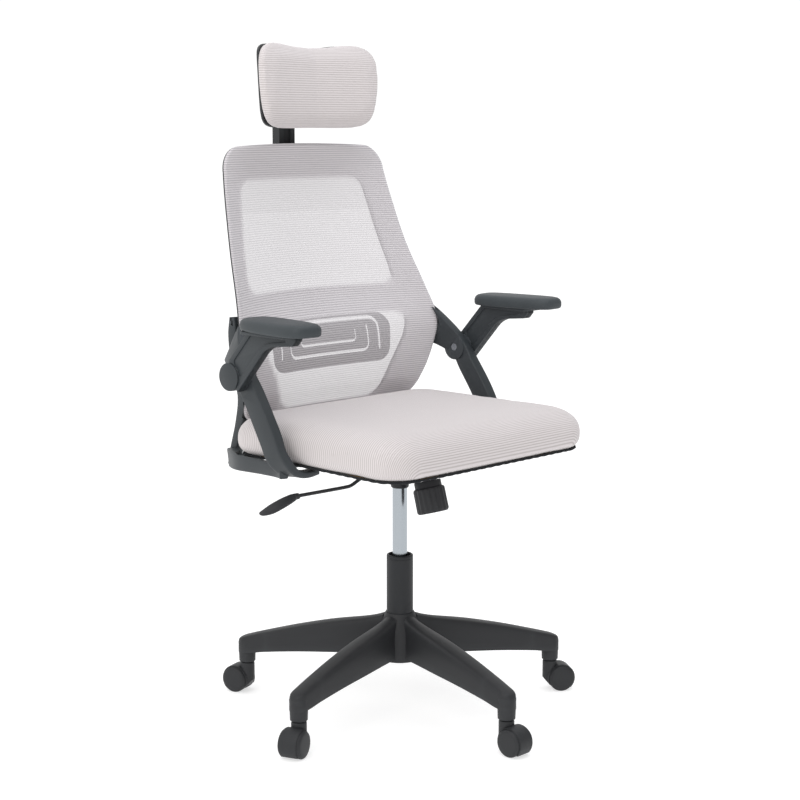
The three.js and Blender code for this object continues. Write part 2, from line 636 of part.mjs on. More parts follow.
function lumbarPad() {
  const { half, bottom, top, corner, depth } = LUMBAR;
  const right = halfOutline({ bottom, top, corner }, [[bottom, half - 6], [top, half + 2]]);
  const left = right.slice(1).reverse().map(([x, z]) => [-x, z]);
  const shape = new THREE.Shape([...right, [0, top], ...left].map(([x, z]) => new THREE.Vector2(x, z)));
  shape.holes.push(
    slotOutline(loopLine(128, 722, 662, 18, -1), 7),
    slotOutline(loopLine(102, 660, 706, 14, 1), 6),
    slotOutline(loopLine(72, 680, 700, 8, 1), 5),
  );
  const flat = new THREE.ExtrudeGeometry(shape, { depth, bevelEnabled: false });
  return ontoBack(flat.rotateX(Math.PI / 2).translate(0, depth + 1.2, 0));
}
add("lumbar_pad", lumbarPad(), BLACK_NYLON);

// Side frames: a strut from the backrest to the seat, a lower bar and an upright behind the back.
const STRUT = [
  { p: [243, 178, 708], w: 98, t: 14, n: [1, 0, 0] },
  { p: [254, 168, 702], w: 86, t: 16, n: [1, 0, 0] },
  { p: [270, 145, 683], w: 64, t: 19, n: [1, 0, 0] },
  { p: [281, 116, 655], w: 50, t: 22, n: [1, 0, 0] },
  { p: [284, 86, 621], w: 43, t: 22, n: [1, 0, 0] },
  { p: [286, 54, 580], w: 42, t: 22, n: [1, 0, 0] },
  { p: [286, 24, 545], w: 41, t: 22, n: [1, 0, 0] },
  { p: [282, 0, 518], w: 40, t: 20, n: [1, 0, 0] },
  { p: [272, -6, 501], w: 37, t: 18, n: [1, 0, -0.4] },
  { p: [255, 6, 490.5], w: 34, t: 13, n: [0.5, 0, -1] },
  { p: [228, 18, 488.5], w: 32, t: 11, n: [0, 0, -1] },
  { p: [196, 26, 490], w: 30, t: 9, n: [0, 0, -1] },
];
const LOWER_BAR = [
  { p: [262, 0, 493], w: 20, t: 20, n: [1, 0, 0] },
  { p: [248, 30, 483], w: 19, t: 20, n: [1, 0, 0] },
  { p: [236, 90, 481], w: 18, t: 20, n: [1, 0, 0] },
  { p: [221, 168, 478], w: 18, t: 20, n: [1, 0, 0] },
  { p: [204, 228, 474], w: 20, t: 20, n: [1, 0, 0] },
  { p: [202, 238, 474], w: 19, t: 20, n: [1, 0, 0] },
];
const UPRIGHT = [
  { p: [202, 237, 466], w: 18, t: 20, n: [1, 0, 0] },
  { p: [202, 229, 498], w: 18, t: 20, n: [1, 0, 0] },
  { p: [202, 212, 550], w: 20, t: 20, n: [1, 0, 0] },
  { p: [208, 197, 600], w: 24, t: 19, n: [1, 0, 0] },
  { p: [228, 188, 660], w: 28, t: 18, n: [1, 0, 0] },
  { p: [238, 187, 715], w: 24, t: 16, n: [1, 0, 0] },
  { p: [238, 190, 750], w: 14, t: 12, n: [1, 0, 0] },
];

function sideFrame() {
  const boss = rod(PIVOT.radius, PIVOT.innerX, PIVOT.jointX - 0.4, 32);
  const feet = [[52, 88], [150, 190]].map(([y0, y1]) => box(150, 240, y0, y1, 486, 495.6));
  const body = join(bar(STRUT), bar(LOWER_BAR), bar(UPRIGHT), alongX(boss, PIVOT.y, PIVOT.z), ...feet);
  const bore = alongX(rod(5.2, 200, 330), PIVOT.y, PIVOT.z);
  const headRecess = alongX(rod(8, 200, PIVOT.innerX + 4), PIVOT.y, PIVOT.z);
  const outside = box(PIVOT.jointX - 0.4, 330, PIVOT.y - 40, PIVOT.y + 40, PIVOT.z - 40, PIVOT.z + 40);
  const seatRoom = seatSlab(-1.5, 495.9, 590);
  const backRoom = backSheet(2, -8, BACK.frameDepth + 2.4);
  return cut(body, bore, headRecess, outside, seatRoom, backRoom);
}

// Arms: a web that turns on the pivot, a flange under the pad, and the soft pad.
const ARM_OUTLINE = [
  [93, 632], [45, 685], [36, 696], [26, 706], [13, 713], [-4, 717.5], [-45, 722.5], [-56, 730], [-58, 737],
  [-57, 743], [62, 743], [117, 684],
];
const ARM_PANEL = [[88, 656], [53, 693], [32, 713], [6, 725], [-36, 731], [-36, 735], [54, 735], [104, 684]];

function armWeb() {
  const web = sidePlate(ARM_OUTLINE, PIVOT.jointX, PIVOT.outerX);
  const knuckle = alongX(rod(PIVOT.radius, PIVOT.jointX, PIVOT.outerX, 40), PIVOT.y, PIVOT.z);
  const flange = box(284, 338, -57, 54, 737.5, 743);
  const panels = [
    sidePlate(ARM_PANEL, PIVOT.outerX - 1.5, PIVOT.outerX + 5),
    sidePlate(ARM_PANEL, PIVOT.jointX - 5, PIVOT.jointX + 1.5),
  ];
  const bore = alongX(rod(5.2, 280, 340), PIVOT.y, PIVOT.z);
  return cut(join(web, knuckle, flange), ...panels, bore);
}

function armPad() {
  const { length, width, bottom, top, x, y, toeOut } = ARM_PAD;
  const rings = [[5, bottom], [0.5, bottom + 3], [0, bottom + 11], [2.5, top - 5], [8, top - 1.5], [18, top]];
  const sections = rings.map(([inset, z]) =>
    roundedSection(width - 2 * inset, length - 2 * inset, 3.4, 24).map(([u, v]) => new THREE.Vector3(u, v, z)),
  );
  return loft(sections).rotateZ(THREE.MathUtils.degToRad(toeOut)).translate(x, y, 0);
}

const pivotBolt = () => alongX(turned([
  [0, PIVOT.innerX + 1], [7.5, PIVOT.innerX + 1], [7.5, PIVOT.innerX + 3.6], [4.9, PIVOT.innerX + 3.6],
  [4.9, PIVOT.outerX - 0.5], [0, PIVOT.outerX - 0.5],
]), PIVOT.y, PIVOT.z);
const pivotCap = () => alongX(turned([
  [0, PIVOT.outerX + GAP], [PIVOT.radius - 0.5, PIVOT.outerX + GAP], [PIVOT.radius - 0.5, PIVOT.outerX + 2.2],
  [PIVOT.radius - 2, PIVOT.outerX + 3.4], [0, PIVOT.outerX + 3.6],
], 40), PIVOT.y, PIVOT.z);

for (const [side, place] of [["left", (g) => g], ["right", mirroredX]]) {
  add(`side_frame_${side}`, place(sideFrame()), CHARCOAL_NYLON);
  add(`arm_${side}`, place(armWeb()), CHARCOAL_NYLON);
  add(`arm_pad_${side}`, place(armPad()), SOFT_PAD);
  add(`pivot_bolt_${side}`, place(pivotBolt()), CHROME);
  add(`pivot_cap_${side}`, place(pivotCap()), CHARCOAL_NYLON);
}

// Headrest: a holder on the back frame, a sliding post, a hinged shell and its cushion.
function headrestBracket() {
  const holder = box(-28, 28, 284, POST.y + POST.depth / 2 + 6, 1001, 1047);
  const [side, deep] = [POST.width / 2 + GAP, POST.depth / 2 + GAP];
  const channel = box(-side, side, POST.y - deep, POST.y + deep, 990, 1060);
  return cut(holder, channel, backSheet(1, -4, BACK.frameDepth + 2.4));
}
add("headrest_bracket", headrestBracket(), BLACK_NYLON);

function headrestPost() {
  const half = POST.width / 2;
  const column = box(-half, half, POST.y - POST.depth / 2, POST.y + POST.depth / 2, POST.bottom, POST.top);
  const face = POST.y - POST.depth / 2;
  const groove = box(-9, 9, face - 5, face + 3, POST.bottom - 5, POST.top - 25);
  const barrel = alongX(rod(11, -half, half, 32), HEADREST_HINGE.y, HEADREST_HINGE.z);
  const bridge = box(-half, half, HEADREST_HINGE.y, POST.y + 8, POST.top - 12, HEADREST_HINGE.z + 9);
  const pin = alongX(rod(5, -half - 7, half + 7), HEADREST_HINGE.y, HEADREST_HINGE.z);
  return join(cut(column, groove), barrel, bridge, pin);
}
add("headrest_post", headrestPost(), BLACK_NYLON);

const HEADREST_STATIONS = [0, 40, 80, 112, 132, 144, 150];
const HEADREST_TOP = [[0, 1243], [50, 1246], [95, 1250], [125, 1245], [144, 1230], [151, 1208]];
const HEADREST_BOTTOM = [
  [0, 1086], [60, 1086], [100, 1091], [122, 1102], [137, 1122], [146, 1150], [151, 1178],
];
const HEADREST_THICK = [[0, 46], [80, 46], [120, 38], [140, 28], [151, 14]];
const HEADREST_MIDDLE = [[0, 240], [80, 231], [120, 219], [151, 207]];
const HEADREST_LEAN = 0.07; // how far the top lies behind the bottom, per millimetre of height

function headrestBody(front, rear, shrink) {
  const xs = [...HEADREST_STATIONS.slice(1).reverse().map((x) => -x), ...HEADREST_STATIONS];
  return loft(xs.map((x) => {
    const at = Math.abs(x);
    const [top, bottom] = [between(HEADREST_TOP, at) - shrink, between(HEADREST_BOTTOM, at) + shrink];
    const [middle, thick] = [between(HEADREST_MIDDLE, at), between(HEADREST_THICK, at)];
    const [y0, y1] = [front(middle, thick), rear(middle, thick)];
    const power = y1 - y0 > 12 ? 2.8 : 8;
    return roundedSection(y1 - y0, top - bottom, power, 18).map(([u, v]) =>
      new THREE.Vector3(x, (y0 + y1) / 2 + u + v * HEADREST_LEAN, (top + bottom) / 2 + v),
    );
  }));
}
const headrestCushion = () => headrestBody((m, t) => m - t / 2, (m, t) => m + t / 2, 0);
add("headrest_cushion", headrestCushion(), FABRIC);

function headrestShell() {
  const half = POST.width / 2 + 0.5;
  const shell = headrestBody((m, t) => m + t / 2 + 0.4, (m, t) => m + t / 2 + 5, 6);
  const ear = (x0) => {
    const outline = [[258, 1150], [HEADREST_HINGE.y, 1157], [HEADREST_HINGE.y, 1179], [258, 1190]];
    const arm = sidePlate(outline, x0, x0 + 6);
    const eye = alongX(rod(11, x0, x0 + 6, 24), HEADREST_HINGE.y, HEADREST_HINGE.z);
    return join(arm, eye);
  };
  const bore = alongX(rod(5.3, -40, 40), HEADREST_HINGE.y, HEADREST_HINGE.z);
  const cushionRoom = headrestBody((m, t) => m - t / 2 - 0.1, (m, t) => m + t / 2 + 0.38, -1);
  return cut(join(shell, ear(half), ear(-half - 6)), bore, cushionRoom);
}
add("headrest_shell", headrestShell(), BLACK_NYLON);

export default group;
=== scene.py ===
"""A mesh-backed task chair with a headrest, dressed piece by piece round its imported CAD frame.

Lengths are millimetres in the gas lift's own frame (x to the sitter's left, y to the rear, z up) and are
turned to metres in the row frame when a piece is made.
"""
from __future__ import annotations

import logging
import math
from collections.abc import Callable, Iterable, Sequence
from dataclasses import dataclass, field
from enum import Enum
from typing import Any

import bmesh
import bpy
import numpy as np
from mathutils import Matrix, Vector


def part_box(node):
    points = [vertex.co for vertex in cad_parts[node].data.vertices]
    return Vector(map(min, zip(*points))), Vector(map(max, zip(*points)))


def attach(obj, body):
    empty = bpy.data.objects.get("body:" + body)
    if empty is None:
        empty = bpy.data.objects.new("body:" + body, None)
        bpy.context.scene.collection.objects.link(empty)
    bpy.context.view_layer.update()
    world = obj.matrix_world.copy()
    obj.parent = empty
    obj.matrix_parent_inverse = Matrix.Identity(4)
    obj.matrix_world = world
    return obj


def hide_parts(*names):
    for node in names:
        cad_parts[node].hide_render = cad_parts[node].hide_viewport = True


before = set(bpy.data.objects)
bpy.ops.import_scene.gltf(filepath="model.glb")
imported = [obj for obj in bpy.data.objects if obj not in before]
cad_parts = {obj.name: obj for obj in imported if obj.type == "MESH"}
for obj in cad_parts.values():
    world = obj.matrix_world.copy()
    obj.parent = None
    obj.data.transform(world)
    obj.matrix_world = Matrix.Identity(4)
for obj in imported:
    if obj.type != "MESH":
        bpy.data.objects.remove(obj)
log = logging.getLogger("chair")

MM = 0.001
Station = tuple[float, float]
Profile = Sequence[tuple[float, float]]


# --------------------------------------------------------------------------- placing and measuring
def lift_axis() -> Vector:
    """Foot of the gas lift's axis in the row frame, in metres."""
    low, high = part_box("column_tube")
    return Vector(((low.x + high.x) / 2, (low.y + high.y) / 2, 0.0))


AXIS = lift_axis()


def box_mm(node: str) -> tuple[Vector, Vector]:
    """A CAD node's lowest and highest corners, in millimetres from the lift's axis.

    Args:
        node: the CAD node's name.

    Returns:
        The two corners.
    """
    low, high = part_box(node)
    return (low - AXIS) / MM, (high - AXIS) / MM


def between(stations: Sequence[Station], key: float) -> float:
    """Smooth value at key from (key, value) stations in rising order.

    Args:
        stations: the keys and their values.
        key: where the value is wanted; past either end it is the end's value.

    Returns:
        The value on a cubic that passes through the stations.
    """
    if key <= stations[0][0]:
        return stations[0][1]
    if key >= stations[-1][0]:
        return stations[-1][1]
    last = len(stations) - 1
    i = next(n for n, s in enumerate(stations) if s[0] > key) - 1

    def slope(j: int) -> float:
        """Slope at station j from its two neighbours."""
        a, b = stations[max(j - 1, 0)], stations[min(j + 1, last)]
        return (b[1] - a[1]) / (b[0] - a[0])

    (k0, v0), (k1, v1) = stations[i], stations[i + 1]
    h = k1 - k0
    t = (key - k0) / h
    return (
        v0 * (1 + 2 * t) * (1 - t) ** 2
        + slope(i) * h * t * (1 - t) ** 2
        + v1 * t * t * (3 - 2 * t)
        + slope(i + 1) * h * t * t * (t - 1)
    )


def smoothstep(low: float, high: float, value: float) -> float:
    """0 below low, 1 above high, with an S-shaped rise between them."""
    t = min(1.0, max(0.0, (value - low) / (high - low)))
    return t * t * (3 - 2 * t)


def filleted(corners: Sequence[tuple[float, float, float]], steps: int = 6) -> list[Vector]:
    """A closed outline whose corners are rounded by arcs.

    Args:
        corners: (u, v, radius) in order round the outline.
        steps: arc segments per corner.

    Returns:
        The outline's points as 2D vectors.
    """
    out: list[Vector] = []
    count = len(corners)
    for i, (u, v, radius) in enumerate(corners):
        here = Vector((u, v))
        to_last = Vector(corners[i - 1][:2]) - here
        to_next = Vector(corners[(i + 1) % count][:2]) - here
        if radius <= 0:
            out.append(here)
            continue
        a, b = to_last.normalized(), to_next.normalized()
        half = math.acos(max(-1.0, min(1.0, a.dot(b)))) / 2
        reach = min(radius / math.tan(half), 0.49 * to_last.length, 0.49 * to_next.length)
        radius = reach * math.tan(half)
        centre = here + (a + b).normalized() * (radius / math.sin(half))
        start, end = here + a * reach - centre, here + b * reach - centre
        turn = start.angle_signed(end)
        for k in range(steps + 1):
            out.append(centre + Matrix.Rotation(-turn * k / steps, 2) @ start)
    return out


def rounded_section(width: float, height: float, power: float = 5.0, count: int = 24) -> list[Vector]:
    """A rounded rectangle as a superellipse round its own middle.

    Args:
        width: full width along the first axis.
        height: full height along the second axis.
        power: 2 is an ellipse, and a higher power is squarer.
        count: number of points.

    Returns:
        The outline's points as 2D vectors.
    """
    out = []
    for i in range(count):
        angle = 2 * math.pi * (i + 0.5) / count
        c, s = math.cos(angle), math.sin(angle)
        u = math.copysign(abs(c) ** (2 / power), c) * width / 2
        v = math.copysign(abs(s) ** (2 / power), s) * height / 2
        out.append(Vector((u, v)))
    return out


def flat_section(width: float, height: float, radius: float) -> list[Vector]:
    """A rectangle with arced corners and a few points along its two broad faces, so that they bend evenly.

    Args:
        width: full width along the first axis, across the broad faces.
        height: full thickness along the second axis.
        radius: corner radius.

    Returns:
        The outline's points as 2D vectors, always the same number of them.
    """
    half, up = width / 2, height / 2
    radius = min(radius, 0.45 * height, 0.3 * width)
    margin = min(4.0, 0.3 * half)

    def corner(cu: float, cv: float, start: float) -> list[Vector]:
        """Four points of a corner arc."""
        angles = [math.radians(start + 30 * k) for k in range(4)]
        return [Vector((cu + radius * math.cos(a), cv + radius * math.sin(a))) for a in angles]

    def face(sign: float) -> list[Vector]:
        """The points along one broad face, from its right to its left as seen on the upper face."""
        edge = half - radius - margin
        right = [Vector((u, up)) for u in (edge, edge - 1.2, edge - 2.2, edge / 3)]
        left = [Vector((-p.x, p.y)) for p in reversed(right)]
        return [Vector((sign * p.x, sign * p.y)) for p in right + left]

    return [
        *corner(half - radius, up - radius, 0), *face(1.0), *corner(-half + radius, up - radius, 90),
        *corner(-half + radius, -up + radius, 180), *face(-1.0), *corner(half - radius, -up + radius, 270),
    ]


# --------------------------------------------------------------------------- building meshes
@dataclass
class Shape:
    """Points in millimetres and the faces between them, gathered before they become one object."""

    points: list[Vector] = field(default_factory=list)
    faces: list[tuple[int, ...]] = field(default_factory=list)

    def take(self, points: Iterable[Vector], faces: Iterable[Sequence[int]]) -> Shape:
        """Adds points and the faces that join them.

        Args:
            points: the new points.
            faces: faces as indices into the new points.

        Returns:
            This shape.
        """
        start = len(self.points)
        self.points.extend(Vector(p) for p in points)
        self.faces.extend(tuple(start + i for i in face) for face in faces)
        return self

    def loft(self, sections: Sequence[Sequence[Vector]], closed_row: bool = False,
             caps: bool = True) -> Shape:
        """Skins a row of sections.

        Args:
            sections: rings of points, all with the same count.
            closed_row: whether the last ring joins the first.
            caps: whether the two end rings are closed by a face.

        Returns:
            This shape.
        """
        count, rows = len(sections[0]), len(sections)
        faces: list[tuple[int, ...]] = []
        for i in range(rows if closed_row else rows - 1):
            n = (i + 1) % rows
            faces += [(i * count + j, i * count + (j + 1) % count, n * count + (j + 1) % count, n * count + j)
                      for j in range(count)]
        if caps and not closed_row:
            faces.append(tuple(reversed(range(count))))
            faces.append(tuple(range((rows - 1) * count, rows * count)))
        return self.take([p for ring in sections for p in ring], faces)

    def grid(self, rows: Sequence[Sequence[Vector]]) -> Shape:
        """Adds an open sheet through rows of points, all with the same count."""
        count = len(rows[0])
        faces = [(i * count + j, i * count + j + 1, (i + 1) * count + j + 1, (i + 1) * count + j)
                 for i in range(len(rows) - 1) for j in range(count - 1)]
        return self.take([p for row in rows for p in row], faces)

    def turned(self, profile: Profile, segments: int = 48, place: Matrix | None = None) -> Shape:
        """Adds a piece turned about the Z axis, with each end of its profile on the axis or open.

        Args:
            profile: (radius, z) points.
            segments: number of sides.
            place: where the piece's own frame goes.

        Returns:
            This shape.
        """
        place = place or Matrix.Identity(4)
        points: list[Vector] = []
        rings: list[list[int]] = []
        for radius, z in profile:
            sides = 1 if radius < 1e-6 else segments
            rings.append(list(range(len(points), len(points) + sides)))
            turns = [2 * math.pi * k / segments for k in range(sides)]
            points += [place @ Vector((radius * math.cos(a), radius * math.sin(a), z)) for a in turns]
        faces: list[tuple[int, ...]] = []
        for a, b in zip(rings, rings[1:]):
            for k in range(segments):
                quad = (a[k % len(a)], a[(k + 1) % len(a)], b[(k + 1) % len(b)], b[k % len(b)])
                faces.append(tuple(dict.fromkeys(quad)))
        return self.take(points, [f for f in faces if len(f) > 2])

    def bar(self, stations: Sequence[BarStation], power: float = 7.0, radius: float = 0.0,
            steps: int = 5) -> Shape:
        """Adds a bar through stations, smooth between them.

        Args:
            stations: the bar's sections.
            power: squareness of a superellipse section.
            radius: corner radius of a flat-sided section, or 0 for the superellipse.
            steps: rings per gap between stations.

        Returns:
            This shape.
        """
        keys = list(range(len(stations)))
        rows = [[(k, value) for k, value in zip(keys, column)]
                for column in zip(*[(*s.centre, s.width, s.thick, *s.normal) for s in stations])]
        fine = [k / steps for k in range((len(stations) - 1) * steps + 1)]
        at = [[between(row, t) for row in rows] for t in fine]
        centres = [Vector(a[:3]) for a in at]
        sections = []
        for i, a in enumerate(at):
            along = (centres[min(i + 1, len(at) - 1)] - centres[max(i - 1, 0)]).normalized()
            thick = Vector(a[5:8])
            thick = (thick - along * thick.dot(along)).normalized()
            across = along.cross(thick)
            outline = (flat_section(a[3], a[4], radius) if radius
                       else rounded_section(a[3], a[4], power))
            sections.append([centres[i] + across * p.x + thick * p.y for p in outline])
        return self.loft(sections)

    def wire(self, route: Sequence[Vector], radius: float, sides: int = 20) -> Shape:
        """Adds a round wire along a route that lies in an xz plane."""
        sections = []
        for i, p in enumerate(route):
            along = (route[min(i + 1, len(route) - 1)] - route[max(i - 1, 0)]).normalized()
            up = along.cross(Vector((0, 1, 0)))
            turns = [2 * math.pi * k / sides for k in range(sides)]
            sections.append([p + Vector((0, 1, 0)) * radius * math.cos(a) + up * radius * math.sin(a)
                             for a in turns])
        return self.loft(sections)

    def mirrored(self) -> Shape:
        """A copy of this shape mirrored across x = 0."""
        return Shape([Vector((-p.x, p.y, p.z)) for p in self.points],
                     [tuple(reversed(f)) for f in self.faces])

    def moved(self, place: Matrix) -> Shape:
        """A copy of this shape carried by a matrix."""
        return Shape([place @ p for p in self.points], list(self.faces))

    def join(self, *others: Shape) -> Shape:
        """Adds other shapes to this one."""
        for other in others:
            self.take(other.points, other.faces)
        return self


@dataclass(frozen=True)
class BarStation:
    """One section of a bar: its middle, width, thickness and the direction of its thickness."""

    centre: tuple[float, float, float]
    width: float
    thick: float
    normal: tuple[float, float, float] = (1.0, 0.0, 0.0)


class Edge(Enum):
    """How a piece's edges and curves are finished."""

    SMOOTH = "smooth"
    SUBDIVIDED = "subdivided"
    BEVELLED = "bevelled"


def make_piece(name: str, shape: Shape, finish: Finish, edge: Edge = Edge.SMOOTH, bevel: float = 0.8,
               sharp: float = 35.0, closed: bool = True) -> bpy.types.Object:
    """Makes a Blender object from a shape.

    Args:
        name: the piece's name.
        shape: its points and faces.
        finish: the material that dresses it.
        edge: how its edges are finished.
        bevel: width of a bevelled edge.
        sharp: angle in degrees above which an edge stays crisp or takes the bevel.
        closed: whether the faces close on themselves, so that they can be turned to face out.

    Returns:
        The object, in metres in the row frame, riding on nothing yet.
    """
    mesh = bpy.data.meshes.new(name)
    mesh.from_pydata([AXIS + p * MM for p in shape.points], [], shape.faces)
    work = bmesh.new()
    work.from_mesh(mesh)
    bmesh.ops.remove_doubles(work, verts=work.verts, dist=1e-6)
    if closed:
        bmesh.ops.recalc_face_normals(work, faces=work.faces)
    work.to_mesh(mesh)
    work.free()
    piece = bpy.data.objects.new(name, mesh)
    bpy.context.scene.collection.objects.link(piece)
    dress(piece, finish, edge, bevel, sharp)
    return piece


def dress(piece: bpy.types.Object, finish: Finish, edge: Edge, bevel: float, sharp: float) -> None:
    """Gives a piece its material and edge treatment.

    Args:
        piece: the object.
        finish: the material that dresses it.
        edge: how its edges are finished.
        bevel: width of a bevelled edge.
        sharp: angle in degrees above which an edge stays crisp or takes the bevel.
    """
    mesh = piece.data
    mesh.materials.clear()
    mesh.materials.append(finish.material())
    mesh.shade_smooth()
    if edge is Edge.BEVELLED:
        soften = piece.modifiers.new("edge_radius", "BEVEL")
        soften.width = bevel * MM
        soften.segments = 2
        soften.limit_method = "ANGLE"
        soften.angle_limit = math.radians(sharp)
        weigh = piece.modifiers.new("flat_faces", "WEIGHTED_NORMAL")
        weigh.keep_sharp = True
        weigh.weight = 80
    elif edge is Edge.SUBDIVIDED:
        smooth = piece.modifiers.new("smooth_surface", "SUBSURF")
        smooth.levels = smooth.render_levels = 1
    else:
        mesh.set_sharp_from_angle(angle=math.radians(sharp))


def dress_node(name: str, finish: Finish, bevel: float = 0.6, sharp: float = 30.0) -> None:
    """Keeps a CAD node, with its split facets welded, its edges broken and its real finish.

    Args:
        name: the CAD node.
        finish: the material that dresses it.
        bevel: width of the broken edges.
        sharp: angle in degrees above which an edge is broken.
    """
    node_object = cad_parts[name]
    mesh = node_object.data
    if mesh.attributes.get("custom_normal"):
        mesh.attributes.remove(mesh.attributes["custom_normal"])
    weld = node_object.modifiers.new("weld", "WELD")
    weld.merge_threshold = 1e-5
    merge = node_object.modifiers.new("coplanar", "DECIMATE")
    merge.decimate_type = "DISSOLVE"
    merge.angle_limit = math.radians(1.0)
    dress(node_object, finish, Edge.BEVELLED, bevel, sharp)
    log.info("dressed CAD node %s in %s", name, finish.name)


def set_value(piece: bpy.types.Object, name: str, value: Callable[[Vector, Vector], float]) -> None:
    """Stores a number at each vertex, for the piece's finish to read.

    Args:
        piece: the piece.
        name: the attribute's name.
        value: gives the number from a point in mm and its normal.
    """
    mesh = piece.data
    values = [value((v.co - AXIS) / MM, v.normal) for v in mesh.vertices]
    attribute = mesh.attributes.new(name, "FLOAT", "POINT")
    attribute.data.foreach_set("value", np.array(values, np.float32))


# --------------------------------------------------------------------------- finishes
def linear(colour: str) -> tuple[float, float, float, float]:
    """Turns an sRGB hex colour to linear RGBA."""
    channels = [int(colour[i : i + 2], 16) / 255 for i in (1, 3, 5)]
    low_high = [c / 12.92 if c <= 0.04045 else ((c + 0.055) / 1.055) ** 2.4 for c in channels]
    return (*low_high, 1.0)


def per_metre(size_mm: float) -> float:
    """Texture scale at which one cell measures size_mm."""
    return 1.0 / (size_mm * MM)


def add_node(tree: bpy.types.NodeTree, kind: str, links: dict[str | int, bpy.types.NodeSocket] | None = None,
             inputs: dict[str | int, Any] | None = None, **settings: Any) -> bpy.types.Node:
    """Adds one shader node.

    Args:
        tree: the material's node tree.
        kind: the node's type name.
        links: output sockets to join to the node's inputs, by input name or number.
        inputs: constant values for the node's inputs, by input name or number.
        **settings: properties of the node itself.

    Returns:
        The node.
    """
    made = tree.nodes.new(kind)
    for key, value in settings.items():
        setattr(made, key, value)
    for key, value in (inputs or {}).items():
        made.inputs[key].default_value = value
    for key, socket in (links or {}).items():
        tree.links.new(socket, made.inputs[key])
    return made


@dataclass(frozen=True)
class Finish:
    """A surface finish, made into one Blender material the first time a piece wears it."""

    name: str

    def material(self) -> bpy.types.Material:
        """The finish's material, made once."""
        known = bpy.data.materials.get(self.name)
        if known:
            return known
        made = bpy.data.materials.new(self.name)
        made.use_nodes = True
        made.node_tree.nodes.clear()
        shader = self.shader(made.node_tree)
        add_node(made.node_tree, "ShaderNodeOutputMaterial", {"Surface": shader})
        return made

    def shader(self, tree: bpy.types.NodeTree) -> bpy.types.NodeSocket:
        """Builds the finish's shader nodes and returns the surface socket."""
        raise NotImplementedError


@dataclass(frozen=True)
class MouldedPlastic(Finish):
    """Injection-moulded plastic from a spark-eroded tool: an even matt grain, faint flow variation and edges
    that handling has polished a little lighter."""

    colour: str = "#232426"
    edge_colour: str = "#333537"
    roughness: float = 0.5
    grain_mm: float = 0.9
    grain_depth: float = 0.1
    specular: float = 0.28

    def shader(self, tree: bpy.types.NodeTree) -> bpy.types.NodeSocket:
        """Builds the plastic's nodes and returns the surface socket."""
        place = add_node(tree, "ShaderNodeTexCoord").outputs["Object"]
        flow = add_node(tree, "ShaderNodeTexNoise", {"Vector": place},
                        {"Scale": per_metre(60.0), "Detail": 3.0, "Roughness": 0.55})
        grain = add_node(tree, "ShaderNodeTexNoise", {"Vector": place},
                         {"Scale": per_metre(self.grain_mm), "Detail": 2.0, "Roughness": 0.6})
        shade = add_node(tree, "ShaderNodeMapRange", {"Value": flow.outputs["Fac"]},
                         {"From Min": 0.3, "From Max": 0.7, "To Min": 0.93, "To Max": 1.07})
        base = add_node(tree, "ShaderNodeVectorMath", {1: shade.outputs["Result"]},
                        {0: linear(self.colour)[:3]}, operation="MULTIPLY")
        bend = add_node(tree, "ShaderNodeNewGeometry").outputs["Pointiness"]
        worn = add_node(tree, "ShaderNodeMapRange", {"Value": bend},
                        {"From Min": 0.53, "From Max": 0.62, "To Min": 0.0, "To Max": 0.5})
        colour = add_node(tree, "ShaderNodeMix",
                          {"Factor": worn.outputs["Result"], 6: base.outputs["Vector"]},
                          {7: linear(self.edge_colour)}, data_type="RGBA")
        gloss = add_node(tree, "ShaderNodeMapRange", {"Value": flow.outputs["Fac"]},
                         {"From Min": 0.3, "From Max": 0.7, "To Min": self.roughness - 0.05,
                          "To Max": self.roughness + 0.05})
        bump = add_node(tree, "ShaderNodeBump", {"Height": grain.outputs["Fac"]},
                        {"Strength": self.grain_depth, "Distance": 0.1 * MM})
        body = add_node(tree, "ShaderNodeBsdfPrincipled",
                        {"Base Color": colour.outputs[2], "Roughness": gloss.outputs["Result"],
                         "Normal": bump.outputs["Normal"]},
                        {"IOR": 1.5, "Specular IOR Level": self.specular})
        return body.outputs["BSDF"]


@dataclass(frozen=True)
class PlatedSteel(Finish):
    """Ground steel under satin chrome: bright, with fine rings left round it by the grinding."""

    colour: str = "#A3A9AE"
    roughness: float = 0.24
    ring_mm: float = 3.0

    def shader(self, tree: bpy.types.NodeTree) -> bpy.types.NodeSocket:
        """Builds the plating's nodes and returns the surface socket."""
        place = add_node(tree, "ShaderNodeTexCoord").outputs["Object"]
        squeezed = add_node(tree, "ShaderNodeMapping", {"Vector": place}, {"Scale": (0.05, 0.05, 1.0)})
        rings = add_node(tree, "ShaderNodeTexNoise", {"Vector": squeezed.outputs["Vector"]},
                         {"Scale": per_metre(self.ring_mm), "Detail": 2.0})
        gloss = add_node(tree, "ShaderNodeMapRange", {"Value": rings.outputs["Fac"]},
                         {"From Min": 0.3, "From Max": 0.7, "To Min": self.roughness - 0.02,
                          "To Max": self.roughness + 0.03})
        bump = add_node(tree, "ShaderNodeBump", {"Height": rings.outputs["Fac"]},
                        {"Strength": 0.01, "Distance": 0.02 * MM})
        body = add_node(tree, "ShaderNodeBsdfPrincipled",
                        {"Roughness": gloss.outputs["Result"], "Normal": bump.outputs["Normal"]},
                        {"Base Color": linear(self.colour), "Metallic": 1.0})
        return body.outputs["BSDF"]


